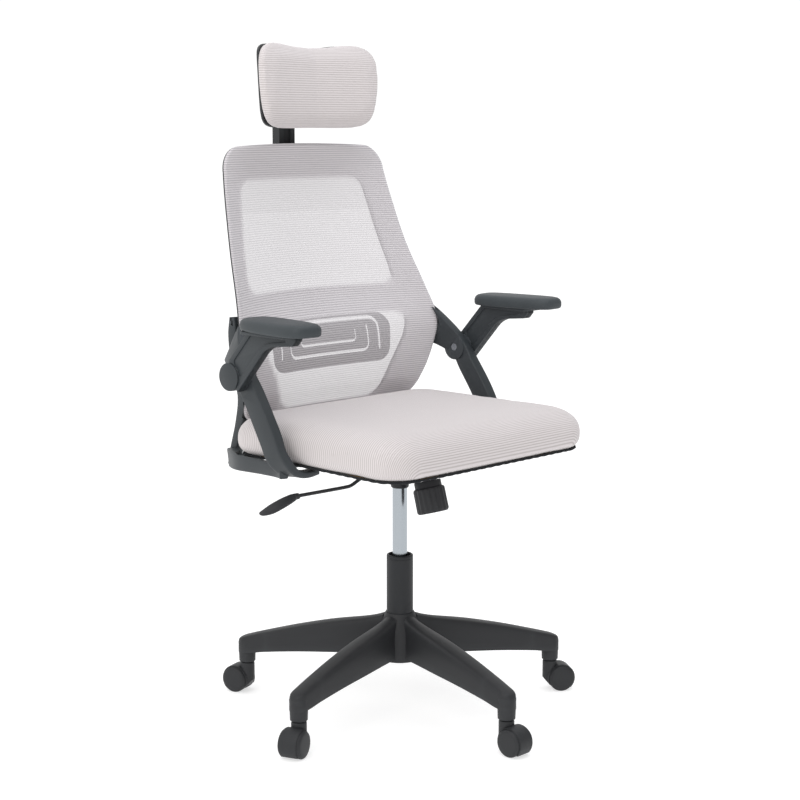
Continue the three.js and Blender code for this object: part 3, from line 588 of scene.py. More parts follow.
@dataclass(frozen=True)
class PowderCoat(Finish):
    """Steel under baked black powder: a soft orange-peel surface with a low sheen."""

    colour: str = "#1C1D1F"
    roughness: float = 0.42
    peel_mm: float = 1.8

    def shader(self, tree: bpy.types.NodeTree) -> bpy.types.NodeSocket:
        """Builds the coating's nodes and returns the surface socket."""
        place = add_node(tree, "ShaderNodeTexCoord").outputs["Object"]
        peel = add_node(tree, "ShaderNodeTexNoise", {"Vector": place},
                        {"Scale": per_metre(self.peel_mm), "Detail": 1.0})
        dust = add_node(tree, "ShaderNodeTexNoise", {"Vector": place},
                        {"Scale": per_metre(45.0), "Detail": 4.0})
        colour = add_node(tree, "ShaderNodeMix", {"Factor": dust.outputs["Fac"]},
                          {6: linear(self.colour), 7: linear("#242629")}, data_type="RGBA")
        bump = add_node(tree, "ShaderNodeBump", {"Height": peel.outputs["Fac"]},
                        {"Strength": 0.15, "Distance": 0.2 * MM})
        body = add_node(tree, "ShaderNodeBsdfPrincipled",
                        {"Base Color": colour.outputs[2], "Normal": bump.outputs["Normal"]},
                        {"Roughness": self.roughness, "IOR": 1.5, "Specular IOR Level": 0.3})
        return body.outputs["BSDF"]


@dataclass(frozen=True)
class RibbedKnit(Finish):
    """Warp-knitted polyester with raised ribs: soft light bands, with shade painted into the colour of each
    furrow, stitches along each rib and a faint fuzz that catches grazing light. Below full opacity, its
    lining value closes it."""

    colour: str = "#CFC9C9"
    # Painted shade: the darker colour that the furrows between the ribs are given.
    painted_furrow_shade: str = "#B2ABAA"
    pitch_mm: float = 4.5
    depth_mm: float = 0.35
    opacity: float = 1.0

    def shader(self, tree: bpy.types.NodeTree) -> bpy.types.NodeSocket:
        """Builds the knit's nodes and returns the surface socket."""
        place = add_node(tree, "ShaderNodeTexCoord").outputs["Object"]
        along = add_node(tree, "ShaderNodeAttribute", attribute_name="rib").outputs["Fac"]
        phase = add_node(tree, "ShaderNodeMath", {0: along}, {1: 2 * math.pi / self.pitch_mm},
                         operation="MULTIPLY")
        wave = add_node(tree, "ShaderNodeMath", {0: phase.outputs[0]}, operation="COSINE")
        rib = add_node(tree, "ShaderNodeMapRange", {"Value": wave.outputs[0]},
                       {"From Min": -1.0, "From Max": 0.35},
                       interpolation_type="SMOOTHSTEP").outputs["Result"]
        # Real stitches are about 1 mm long; they are drawn 2.2 mm long so that they show.
        stitch = add_node(tree, "ShaderNodeTexNoise", {"Vector": place},
                          {"Scale": per_metre(2.2), "Detail": 2.0, "Roughness": 0.7}).outputs["Fac"]
        cloud = add_node(tree, "ShaderNodeTexNoise", {"Vector": place},
                         {"Scale": per_metre(90.0), "Detail": 2.0}).outputs["Fac"]
        # Painted shade: the colour falls from the rib colour to the darker furrow colour down each furrow.
        base = add_node(tree, "ShaderNodeMix", {"Factor": rib},
                        {6: linear(self.painted_furrow_shade), 7: linear(self.colour)}, data_type="RGBA").outputs[2]
        shade = add_node(tree, "ShaderNodeMath", {0: stitch, 1: cloud}, operation="ADD").outputs[0]
        tone = add_node(tree, "ShaderNodeMapRange", {"Value": shade},
                        {"From Min": 0.6, "From Max": 1.4, "To Min": 0.985,
                         "To Max": 1.015}).outputs["Result"]
        colour = add_node(tree, "ShaderNodeVectorMath", {0: base, 1: tone},
                          operation="MULTIPLY").outputs["Vector"]
        relief = add_node(tree, "ShaderNodeMath", {0: stitch, 2: rib}, {1: 0.05}, operation="MULTIPLY_ADD")
        bump = add_node(tree, "ShaderNodeBump", {"Height": relief.outputs[0]},
                        {"Strength": 0.3, "Distance": self.depth_mm * MM})
        links = {"Base Color": colour, "Normal": bump.outputs["Normal"]}
        if self.opacity < 1.0:
            lined = add_node(tree, "ShaderNodeAttribute", attribute_name="lining").outputs["Fac"]
            solid = add_node(tree, "ShaderNodeMapRange", {"Value": lined},
                             {"To Min": self.opacity, "To Max": 0.97})
            links["Alpha"] = solid.outputs["Result"]
        body = add_node(tree, "ShaderNodeBsdfPrincipled", links,
                        {"Roughness": 0.92, "Sheen Weight": 0.25, "Sheen Roughness": 0.6,
                         "Specular IOR Level": 0.2})
        return body.outputs["BSDF"]


@dataclass(frozen=True)
class NonWoven(Finish):
    """Spun-bonded polypropylene cloth: dull black with a pressed diamond dot pattern."""

    colour: str = "#1B1C1E"
    dot_mm: float = 2.5

    def shader(self, tree: bpy.types.NodeTree) -> bpy.types.NodeSocket:
        """Builds the cloth's nodes and returns the surface socket."""
        place = add_node(tree, "ShaderNodeTexCoord").outputs["Object"]
        dots = add_node(tree, "ShaderNodeTexVoronoi", {"Vector": place},
                        {"Scale": per_metre(self.dot_mm), "Randomness": 0.15}, feature="F1")
        tone = add_node(tree, "ShaderNodeMix", {"Factor": dots.outputs["Distance"]},
                        {6: linear(self.colour), 7: linear("#2C2D30")}, data_type="RGBA")
        bump = add_node(tree, "ShaderNodeBump", {"Height": dots.outputs["Distance"]},
                        {"Strength": 0.4, "Distance": 0.2 * MM})
        body = add_node(tree, "ShaderNodeBsdfPrincipled",
                        {"Base Color": tone.outputs[2], "Normal": bump.outputs["Normal"]},
                        {"Roughness": 0.95, "Specular IOR Level": 0.2})
        return body.outputs["BSDF"]


@dataclass(frozen=True)
class Plywood(Finish):
    """Sanded birch plywood: pale wood with long grain and a striped edge."""

    light: str = "#C3A271"
    dark: str = "#9A7647"

    def shader(self, tree: bpy.types.NodeTree) -> bpy.types.NodeSocket:
        """Builds the wood's nodes and returns the surface socket."""
        place = add_node(tree, "ShaderNodeTexCoord").outputs["Object"]
        drawn = add_node(tree, "ShaderNodeMapping", {"Vector": place}, {"Scale": (0.04, 1.0, 1.5)})
        grain = add_node(tree, "ShaderNodeTexNoise", {"Vector": drawn.outputs["Vector"]},
                         {"Scale": per_metre(3.0), "Detail": 5.0})
        tone = add_node(tree, "ShaderNodeMix", {"Factor": grain.outputs["Fac"]},
                        {6: linear(self.dark), 7: linear(self.light)}, data_type="RGBA")
        bump = add_node(tree, "ShaderNodeBump", {"Height": grain.outputs["Fac"]},
                        {"Strength": 0.2, "Distance": 0.1 * MM})
        body = add_node(tree, "ShaderNodeBsdfPrincipled",
                        {"Base Color": tone.outputs[2], "Normal": bump.outputs["Normal"]}, {"Roughness": 0.7})
        return body.outputs["BSDF"]


# Glass-filled nylon, moulded: near black, fine spark grain, a broad dull highlight.
BLACK_NYLON = MouldedPlastic("moulded_black_nylon", "#2A2B2D", "#393B3D", roughness=0.5)
# The same nylon in charcoal with a finer grain, so that it looks smoother and greyer.
CHARCOAL_NYLON = MouldedPlastic("moulded_charcoal_nylon", "#363A3D", "#4B5054", roughness=0.44, grain_mm=0.6)
# Self-skinned polyurethane foam: satin skin with a soft, wide highlight.
SOFT_PAD = MouldedPlastic("self_skinned_polyurethane", "#3A3F42", "#474C50", roughness=0.55, grain_mm=0.5,
                          grain_depth=0.06)
# Satin chrome on the lift's ground cylinder, the axles and the stems.
CHROME = PlatedSteel("satin_chromed_steel")
# Zinc-plated bolts, spring and button: greyer and duller than the chrome.
ZINC = PlatedSteel("zinc_plated_steel", "#74787B", roughness=0.4, ring_mm=1.5)
BLACK_STEEL = PowderCoat("powder_coated_steel")
# The column's coat is matt and a little lighter than that on the mechanism.
BLACK_COLUMN = PowderCoat("matt_powder_coated_column", "#252628", roughness=0.5)
SEAT_KNIT = RibbedKnit("ribbed_polyester_knit_seat", pitch_mm=5.0, depth_mm=0.5)
HEADREST_KNIT = RibbedKnit("ribbed_polyester_knit_headrest", pitch_mm=4.3, depth_mm=0.4)
# Open spacer mesh: what is behind it shows through, but not where a lining doubles it over the frame.
# Its second colour, #ACA8AC, is the shade painted into its furrows.
BACK_KNIT = RibbedKnit("spacer_mesh_knit", "#CECACC", "#ACA8AC", pitch_mm=4.2, depth_mm=0.2, opacity=0.7)
UNDER_CLOTH = NonWoven("non_woven_under_cloth")
PLYWOOD = Plywood("birch_plywood")


# --------------------------------------------------------------------------- carving, plates and cushions
def baked(piece: bpy.types.Object) -> bpy.types.Mesh:
    """The piece's mesh with its modifiers applied, as a new mesh."""
    bpy.context.view_layer.update()
    graph = bpy.context.evaluated_depsgraph_get()
    return bpy.data.meshes.new_from_object(piece.evaluated_get(graph), depsgraph=graph)


def carved(piece: bpy.types.Object, cutters: Sequence[Shape]) -> bpy.types.Object:
    """Cuts closed shapes out of a piece, and drops the slivers that the cuts leave.

    Args:
        piece: the piece to cut; it has no other modifiers yet that must stay live.
        cutters: the closed shapes to take away.

    Returns:
        The same piece with its mesh cut.
    """
    tools = []
    for i, cutter in enumerate(cutters):
        tool = make_piece(f"cutter_{i}", cutter, BLACK_NYLON)
        tools.append(tool)
        step = piece.modifiers.new(f"cut_{i}", "BOOLEAN")
        step.operation = "DIFFERENCE"
        step.solver = "EXACT"
        step.use_self = True
        step.object = tool
    mesh = baked(piece)
    piece.modifiers.clear()
    piece.data = mesh
    work = bmesh.new()
    work.from_mesh(mesh)
    bmesh.ops.remove_doubles(work, verts=work.verts, dist=2e-5)
    bmesh.ops.dissolve_limit(work, angle_limit=math.radians(0.5), verts=work.verts, edges=work.edges)
    work.to_mesh(mesh)
    work.free()
    for tool in tools:
        bpy.data.objects.remove(tool)
    return piece


def plate(outline: Sequence[Vector], thick: float, edge: float = 0.8, holes: Sequence[Sequence[Vector]] = (),
          step: float = 0.0) -> Shape:
    """A flat plate with rounded edges, in its own plane, with its thickness centred on zero.

    Args:
        outline: its outline.
        thick: its full thickness.
        edge: radius of its edges.
        holes: outlines of the openings through it.
        step: when above zero, the faces are divided by lines this far apart so that the plate can be bent.

    Returns:
        The plate as a shape, its outline in x and y and its thickness in z.
    """
    curve = bpy.data.curves.new("plate", "CURVE")
    curve.dimensions, curve.fill_mode = "2D", "BOTH"
    curve.extrude, curve.bevel_depth, curve.bevel_resolution = thick / 2 - edge, edge, 1
    curve.offset = -edge
    for ring in [outline, *holes]:
        line = curve.splines.new("POLY")
        line.points.add(len(ring) - 1)
        for target, p in zip(line.points, ring):
            target.co = (p.x, p.y, 0.0, 1.0)
        line.use_cyclic_u = True
    drawn = bpy.data.objects.new("plate", curve)
    bpy.context.scene.collection.objects.link(drawn)
    mesh = baked(drawn)
    bpy.data.objects.remove(drawn)
    work = bmesh.new()
    work.from_mesh(mesh)
    bmesh.ops.remove_doubles(work, verts=work.verts, dist=1e-3)
    if step > 0:
        for axis in (0, 1):
            low = min(v.co[axis] for v in work.verts)
            high = max(v.co[axis] for v in work.verts)
            normal = Vector((1.0 - axis, float(axis), 0.0))
            for k in range(1, int((high - low) / step) + 1):
                everything = [*work.verts, *work.edges, *work.faces]
                bmesh.ops.bisect_plane(work, geom=everything, plane_co=normal * (low + k * step),
                                       plane_no=normal)
    made = Shape().take([v.co.copy() for v in work.verts],
                        [[v.index for v in f.verts] for f in indexed(work).faces])
    work.free()
    return made


def indexed(work: bmesh.types.BMesh) -> bmesh.types.BMesh:
    """The same mesh with its vertex numbers brought up to date."""
    work.verts.index_update()
    return work


def side_matrix(x: float) -> Matrix:
    """Stands a plate drawn in (y, z) upright at x, its thickness along x."""
    return Matrix(((0, 0, 1, x), (1, 0, 0, 0), (0, 1, 0, 0), (0, 0, 0, 1)))


def along_x(y: float, z: float) -> Matrix:
    """Lays a turned piece's axis along x at (y, z)."""
    return Matrix.Translation((0, y, z)) @ Matrix.Rotation(math.pi / 2, 4, "Y")


def inflate(piece: bpy.types.Object, voxel: float, cap: float, pressure: float = 4.0,
            frames: int = 18) -> None:
    """Lets a cushion's cover swell under its filling, by cloth simulation, and keeps the result as its mesh.

    Args:
        piece: the cushion; its shape starts a little small.
        voxel: size of the even mesh that the cloth is made of.
        cap: furthest that a point may move.
        pressure: the filling's pressure.
        frames: steps of the simulation.
    """
    remesh = piece.modifiers.new("even_mesh", "REMESH")
    remesh.mode, remesh.voxel_size = "VOXEL", voxel * MM
    piece.data = baked(piece)
    piece.modifiers.clear()
    rest = np.array([v.co for v in piece.data.vertices], float)
    cloth = piece.modifiers.new("cover", "CLOTH")
    cloth.settings.use_pressure = True
    cloth.settings.uniform_pressure_force = pressure
    cloth.settings.effector_weights.gravity = 0.0
    cloth.settings.quality = 4
    scene = bpy.context.scene
    for number in range(1, frames + 1):
        scene.frame_set(number)
    swollen = baked(piece)
    piece.modifiers.clear()
    scene.frame_set(1)
    moved = np.array([v.co for v in swollen.vertices], float) - rest
    length = np.linalg.norm(moved, axis=1, keepdims=True)
    limit = cap * MM
    rest += moved * (limit * np.tanh(length / limit) / np.maximum(length, 1e-9))
    bpy.data.meshes.remove(swollen)
    piece.data.vertices.foreach_set("co", rest.astype(np.float32).ravel())
    relax = piece.modifiers.new("relax", "SMOOTH")
    relax.factor, relax.iterations = 0.5, 6
    piece.data = baked(piece)
    piece.modifiers.clear()
    piece.data.shade_smooth()


def subdivide(piece: bpy.types.Object) -> None:
    """Adds one level of subdivision to a piece."""
    smooth = piece.modifiers.new("smooth_surface", "SUBSURF")
    smooth.levels = smooth.render_levels = 1


def place_piece(piece: bpy.types.Object, body: str, slot: str, *nodes: str) -> bpy.types.Object:
    """Lets a piece ride on a body and stand for CAD nodes.

    Args:
        piece: the new piece.
        body: the CAD body that it moves with.
        slot: not used.
        *nodes: the CAD nodes that it replaces.

    Returns:
        The piece.
    """
    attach(piece, body)
    if nodes:
        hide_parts(*nodes)
    log.info("made %s on body %s with %d faces", piece.name, body, len(piece.data.polygons))
    return piece


# --------------------------------------------------------------------------- the base and its casters
@dataclass
class StarBase:
    """Five hollow-backed legs moulded in one with a hub and five caster sockets."""

    legs: int = 5
    stem_circle: float = 311.0
    rear_leg: float = 45.6
    socket_radius: float = 17.0
    socket_bottom: float = 62.0
    hub_radius: float = 43.0
    hub_bottom: float = 97.0
    hub_top: float = 187.0
    bore: float = 25.35
    wall: float = 4.0
    top: tuple[Station, ...] = ((20, 186), (34, 181), (46, 177), (70, 171.5), (135, 160), (205, 144),
                                (275, 125),
                                (311, 114.5), (320, 111), (325.5, 107), (328, 99))
    bottom: tuple[Station, ...] = ((20, 104), (70, 104), (140, 100), (205, 95), (275, 87), (296, 83),
                                   (328, 80))
    width: tuple[Station, ...] = ((20, 31), (40, 33), (80, 38), (135, 41), (205, 40), (275, 37), (300, 35),
                                  (311, 34))

    def angle(self, number: int) -> float:
        """Direction of a leg in radians, counting from 0 at the rear one."""
        return math.radians(self.rear_leg + 360 / self.legs * number)

    def half_width(self, r: float) -> float:
        """Half the leg's width at a distance from the hub, round at its end."""
        if r <= self.stem_circle:
            return between(self.width, r) / 2
        return math.sqrt(max(0.5, self.socket_radius**2 - (r - self.stem_circle) ** 2))

    def outline(self, r: float) -> list[Vector]:
        """Outer skin of a leg's section, from its lower right edge over the top to its lower left edge."""
        half, low = self.half_width(r), between(self.bottom, r)
        height = between(self.top, r) - low
        side = [(1.0, 0.0), (0.985, 0.3), (0.955, 0.6), (0.925, 0.78), (0.88, 0.87), (0.8, 0.935),
                (0.66, 0.97),
                (0.42, 0.985), (0.16, 1.0)]
        right = [Vector((r, half * u, low + height * f)) for u, f in side]
        return right + [Vector((p.x, -p.y, p.z)) for p in reversed(right)]

    def leg(self) -> Shape:
        """One leg along +x: a hollow-backed beam, ribs across it, a solid end and the caster socket."""
        hollow_end = 268.0
        beam = []
        for r in np.linspace(30.0, hollow_end, 18):
            outer = self.outline(float(r))
            middle = between(self.bottom, float(r))
            inner = []
            for p in reversed(outer):
                sunk = min(p.z - 7.0, between(self.top, float(r)) - 12.0)
                inner.append(Vector((p.x, p.y * (1 - 2 * self.wall / between(self.width, float(r))),
                                     max(sunk, middle + 0.3))))
            beam.append(outer + inner)
        made = Shape().loft(beam)
        ends = [hollow_end - 3, 275, 285, 296, 306, 313, 318, 322, 325, 327, 327.8]
        made.join(Shape().loft([self.outline(r) for r in ends]))
        for r in (96.0, 131.0, 166.0, 203.0, 236.0):
            half, low, high = self.half_width(r) - 3, between(self.bottom, r) + 3, between(self.top, r) - 9
            rib = [[Vector((x, y, z)) for y,
                    z in ((-half, low), (half, low), (half * 0.8, high), (-half * 0.8, high))]
                   for x in (r - 1.2, r + 1.2)]
            made.join(Shape().loft(rib))
        low, radius = self.socket_bottom, self.socket_radius
        profile = [(6.0, low + 12), (6.0, low), (radius - 2.2, low), (radius - 1.2, low + 1.0),
                   (radius, 100.0),
                   (radius - 2, 104.0), (0.0, 104.0)]
        return made.join(Shape().turned(profile, 40, Matrix.Translation((self.stem_circle, 0, 0))))

    def hub(self) -> Shape:
        """The hub round the column, with a rolled collar at its top."""
        radius, low, top = self.hub_radius, self.hub_bottom, self.hub_top
        profile = [(self.bore, low), (radius - 3.0, low), (radius - 1.0, low + 1.0), (radius, low + 4),
                   (radius - 0.6, 140), (radius - 1.6, 152), (radius - 4, 161), (radius - 7.5, 169),
                   (32.0, 176),
                   (29.4, 182), (27.6, top - 1), (27.0, top), (self.bore, top)]
        return Shape().turned([*profile, profile[0]], 72)

    def build(self) -> None:
        """Makes the base in place of its CAD node."""
        made = self.hub()
        for number in range(self.legs):
            made.join(self.leg().moved(Matrix.Rotation(self.angle(number), 4, "Z")))
        piece = make_piece("moulded_star_base", made, BLACK_NYLON, sharp=32)
        place_piece(piece, "base", "black_nylon", "star_base")


@dataclass
class Casters:
    """Twin-wheel hooded casters in the base's sockets."""

    base: StarBase
    headings: tuple[float, ...] = (60, 108, 201, 270, 326)
    radius: float = 25.0
    width: float = 19.0
    inner_face: float = 3.0
    bore: float = 4.3
    trail: float = 20.0
    hood_radius: float = 27.6
    hood_half_width: float = 17.5
    well_radius: float = 25.8
    web_half: float = 2.2
    barrel_radius: float = 14.0
    barrel_top: float = 60.5
    stem_bore: float = 5.8
    axle_bore: float = 4.1

    def place(self, number: int) -> Matrix:
        """Where a caster's own frame goes, with its trail along +x."""
        angle = self.base.angle(number)
        foot = Vector((math.cos(angle), math.sin(angle), 0)) * self.base.stem_circle
        return Matrix.Translation(foot) @ Matrix.Rotation(math.radians(self.headings[number]), 4, "Z")

    def wheel(self, side: int) -> Shape:
        """A wheel with a crowned tread, a rolled outer rim, a dished disc and a hub boss."""
        w, r = self.width, self.radius
        profile = [(self.bore, 0), (r - 3.0, 0), (r - 1.2, 0.4), (r - 0.3, 1.6), (r, 4.0), (r, w - 5.0),
                   (r - 0.4, w - 3.2),
                   (r - 1.4, w - 1.8), (r - 2.6, w - 1.0), (r - 3.2, w - 1.2), (r - 3.8, w - 0.7),
                   (r - 5.0, w - 0.3),
                   (r - 12.0, w), (0, w), (0, w - 0.7), (self.bore, w - 0.7), (self.bore, 0)]
        lay = Matrix.Rotation(-side * math.pi / 2, 4, "X")
        return Shape().turned(profile, 64,
                              Matrix.Translation((self.trail, side * self.inner_face, self.radius)) @ lay)

    def hood(self) -> Shape:
        """A rounded drum over the wheels, a web between them and a slant-footed barrel round the stem."""
        across = Matrix.Translation((self.trail, 0, self.radius)) @ Matrix.Rotation(-math.pi / 2, 4, "X")
        r, w, b, top = self.hood_radius, self.hood_half_width, self.barrel_radius, self.barrel_top
        drum = Shape().turned([(0, -w), (r - 3.0, -w), (r - 1.0, 0.8 - w), (r, 2.8 - w), (r, w - 2.8),
                               (r - 1.0, w - 0.8),
                               (r - 3.0, w), (0, w)], 80, across)
        barrel = Shape().turned([(0, 10), (b, 10), (b, top - 3), (b - 0.8, top - 1), (b - 2.2, top),
                                 (0, top)], 56)
        wells = [Shape().turned([(0, low), (self.well_radius, low), (self.well_radius, high), (0, high)], 80,
                                across)
                 for low, high in ((self.web_half, 40), (-40, -self.web_half))]
        stem = Shape().turned([(0, 50), (self.stem_bore, 50), (self.stem_bore, 80), (0, 80)], 32)
        axle = Shape().turned([(0, -40), (self.axle_bore, -40), (self.axle_bore, 40), (0, 40)], 32, across)
        foot = filleted([(-40, 34, 0), (-15, 27, 2), (-2, 11, 4), (9, 15, 4), (22, 15, 4), (32, 9, 2),
                         (70, -6, 0),
                         (70, -40, 0), (-40, -40, 0)], 4)
        under = Shape().loft([[Vector((p.x, y, p.y)) for p in foot] for y in (-40, 40)])
        made = carved(make_piece("hood_blank", drum.join(barrel), BLACK_NYLON), [*wells, stem, axle, under])
        shape = Shape([(v.co - AXIS) / MM for v in made.data.vertices],
                      [tuple(f.vertices) for f in made.data.polygons])
        bpy.data.objects.remove(made)
        return shape

    def build(self) -> None:
        """Makes the hoods and the wheels, and dresses the stems and axles."""
        hood = self.hood()
        for number in range(self.base.legs):
            name = f"caster_{number + 1}"
            for side, word in ((1, "left"), (-1, "right")):
                shape = self.wheel(side).moved(self.place(number))
                piece = make_piece(f"{name}_tread_{word}", shape, BLACK_NYLON, sharp=50)
                place_piece(piece, f"{name}_wheels", "black_nylon", f"{name}_wheel_{word}")
            cover = Shape(list(hood.points), list(hood.faces)).moved(self.place(number))
            piece = make_piece(f"{name}_cover", cover, BLACK_NYLON, Edge.BEVELLED, bevel=0.5, sharp=40)
            place_piece(piece, name, "black_nylon", f"{name}_hood")
            dress_node(f"{name}_stem", CHROME, bevel=0.4)
            dress_node(f"{name}_axle", CHROME, bevel=0.4)


# --------------------------------------------------------------------------- the gas lift and the mechanism
@dataclass
class GasLift:
    """The column tube in the hub, and the chromed cylinder that slides in its bush."""

    tube_radius: float = 25.0
    tube_top: float = 298.0
    cylinder_radius: float = 14.0

    def build(self) -> None:
        """Makes the tube and the cylinder, and dresses what is inside them."""
        low = box_mm("column_tube")[0].z
        r, top = self.tube_radius, self.tube_top
        tube = [(5.2, low), (r - 0.8, low), (r, low + 0.8), (r, top - 7.2), (r - 0.5, top - 6.8),
                (r - 0.5, top - 6.2),
                (r, top - 5.8), (r, top - 2.2), (r - 0.5, top - 0.8), (r - 1.6, top), (22.0, top),
                (21.0, top - 0.8),
                (21.0, top - 5), (23.0, top - 5), (23.0, low + 4), (5.2, low + 4), (5.2, low)]
        piece = make_piece("powder_coated_column", Shape().turned(tube, 72), BLACK_COLUMN, sharp=40)
        place_piece(piece, "base", "black_steel", "column_tube")
        bottom, upper = box_mm("gas_cylinder")[0].z, box_mm("gas_cylinder")[1].z
        r = self.cylinder_radius
        rod = [(5.3, bottom), (r - 1, bottom), (r, bottom + 1), (r, upper - 1), (r - 1, upper), (5.3, upper),
               (5.3, bottom)]
        piece = make_piece("chromed_cylinder", Shape().turned(rod, 64), CHROME, sharp=40)
        place_piece(piece, "lift_column", "chrome_steel", "gas_cylinder")
        for node, finish in (("column_bush", BLACK_NYLON), ("piston_rod", CHROME), ("release_button", ZINC)):
            dress_node(node, finish)


@dataclass
class TiltMechanism:
    """The pressed-steel tray, tilting plate, tension spring and its ribbed knob."""

    knob_radius: float = 29.8
    knob_length: float = 57.0
    knob_y: float = -71.0
    knob_z: float = 446.0
    knob_tilt: float = 16.0
    ribs: int = 18
    rib_depth: float = 1.5
    neck_radius: float = 25.0
    cup_radius: float = 17.0

    def knob(self) -> Shape:
        """The knob: a fluted grip with rolled ends, a round neck and a hollow that takes the spring."""
        count, length = self.ribs * 8, self.knob_length

        def ring(radius: float, z: float, flute: float) -> list[Vector]:
            """One ring of the grip."""
            out = []
            for k in range(count):
                a = 2 * math.pi * k / count
                cut = flute * (0.5 - 0.5 * math.cos(self.ribs * a)) ** 0.7
                out.append(Vector(((radius - cut) * math.cos(a), (radius - cut) * math.sin(a), z)))
            return out

        r, d, n, c = self.knob_radius, self.rib_depth, self.neck_radius, self.cup_radius
        rows = [(r - 6.0, -length + 0.6, 0), (r - 4.0, -length, 0), (r - 2.4, -length + 0.5, 0),
                (r - 1.2, -length + 2.0, d * 0.5), (r, -length + 4.5, d), (r - 0.2, -length * 0.55, d),
                (r - 0.2, -15.0, d), (r - 0.8, -12.5, d * 0.7), (r - 2.4, -10.8, 0), (n + 0.6, -10.2, 0),
                (n, -9.2, 0),
                (n, 0.6, 0), (n - 1.2, 2.0, 0), (c + 1, 2.0, 0), (c, 1.0, 0), (c, -24.5, 0), (5.3, -25.0, 0),
                (5.3, -41.5, 0)]
        return Shape().loft([ring(*row) for row in rows])

    def build(self) -> None:
        """Makes the knob and dresses the metalwork."""
        place = Matrix.Translation((0, self.knob_y,
                                    self.knob_z)) @ Matrix.Rotation(math.radians(-self.knob_tilt), 4, "X")
        piece = make_piece("fluted_tension_knob", self.knob().moved(place), BLACK_NYLON, sharp=60)
        place_piece(piece, "tension_knob", "black_nylon", "tension_knob")
        for node, finish in (("mechanism_housing", BLACK_STEEL), ("mechanism_plate", BLACK_STEEL),
                             ("tilt_axle", CHROME),
                             ("tension_bolt", ZINC), ("tilt_spring", ZINC), ("lever_bush", BLACK_NYLON)):
            dress_node(node, finish, bevel=0.4)


@dataclass
class Lever:
    """The bent wire lever and its flat spoon-shaped paddle."""

    radius: float = 3.3
    z: float = 475.6
    bends: tuple[tuple[float, float, float], ...] = ((14, 475.6, 0), (-58, 475.6, 30), (-128, 447.0, 40),
                                                     (-158, 447.2, 30), (-262, 449, 0))
    paddle: tuple[BarStation, ...] = (
        BarStation((-254, 0, 448.8), 11, 10.5, (0, 0, 1)),
        BarStation((-266, 0, 448.3), 13, 11.5, (0, 0, 1)),
        BarStation((-270, 0, 447.6), 20, 11.5, (0, 0, 1)),
        BarStation((-286, 0, 443.6), 30, 10, (0.05, 0, 1)),
        BarStation((-308, 0, 437.4), 34, 8, (0.15, 0, 1)),
        BarStation((-326, 0, 431.8), 31, 6.0, (0.25, 0, 1)),
        BarStation((-338, 0, 429.6), 22, 5, (0.3, 0, 1)),
        BarStation((-343, 0, 428.6), 10, 4, (0.3, 0, 1)),
    )

    def route(self) -> list[Vector]:
        """The wire's middle line, with arcs at its bends."""
        ring = [(x, z, r) for x, z, r in self.bends]
        flat = filleted([*ring, (-262, 300, 0), (14, 300, 0)], 8)
        return [Vector((p.x, 0, p.y)) for p in flat[: len(flat) - 2]]

    def build(self) -> None:
        """Makes the wire and the paddle."""
        rod = make_piece("bent_wire_lever", Shape().wire(self.route(), self.radius), BLACK_STEEL, sharp=60)
        place_piece(rod, "lever", "black_steel", "lever_rod")
        spoon = make_piece("moulded_lever_paddle", Shape().bar(self.paddle, power=2.6, steps=3), BLACK_NYLON,
                           Edge.SUBDIVIDED)
        place_piece(spoon, "lever", "black_nylon", "lever_paddle")


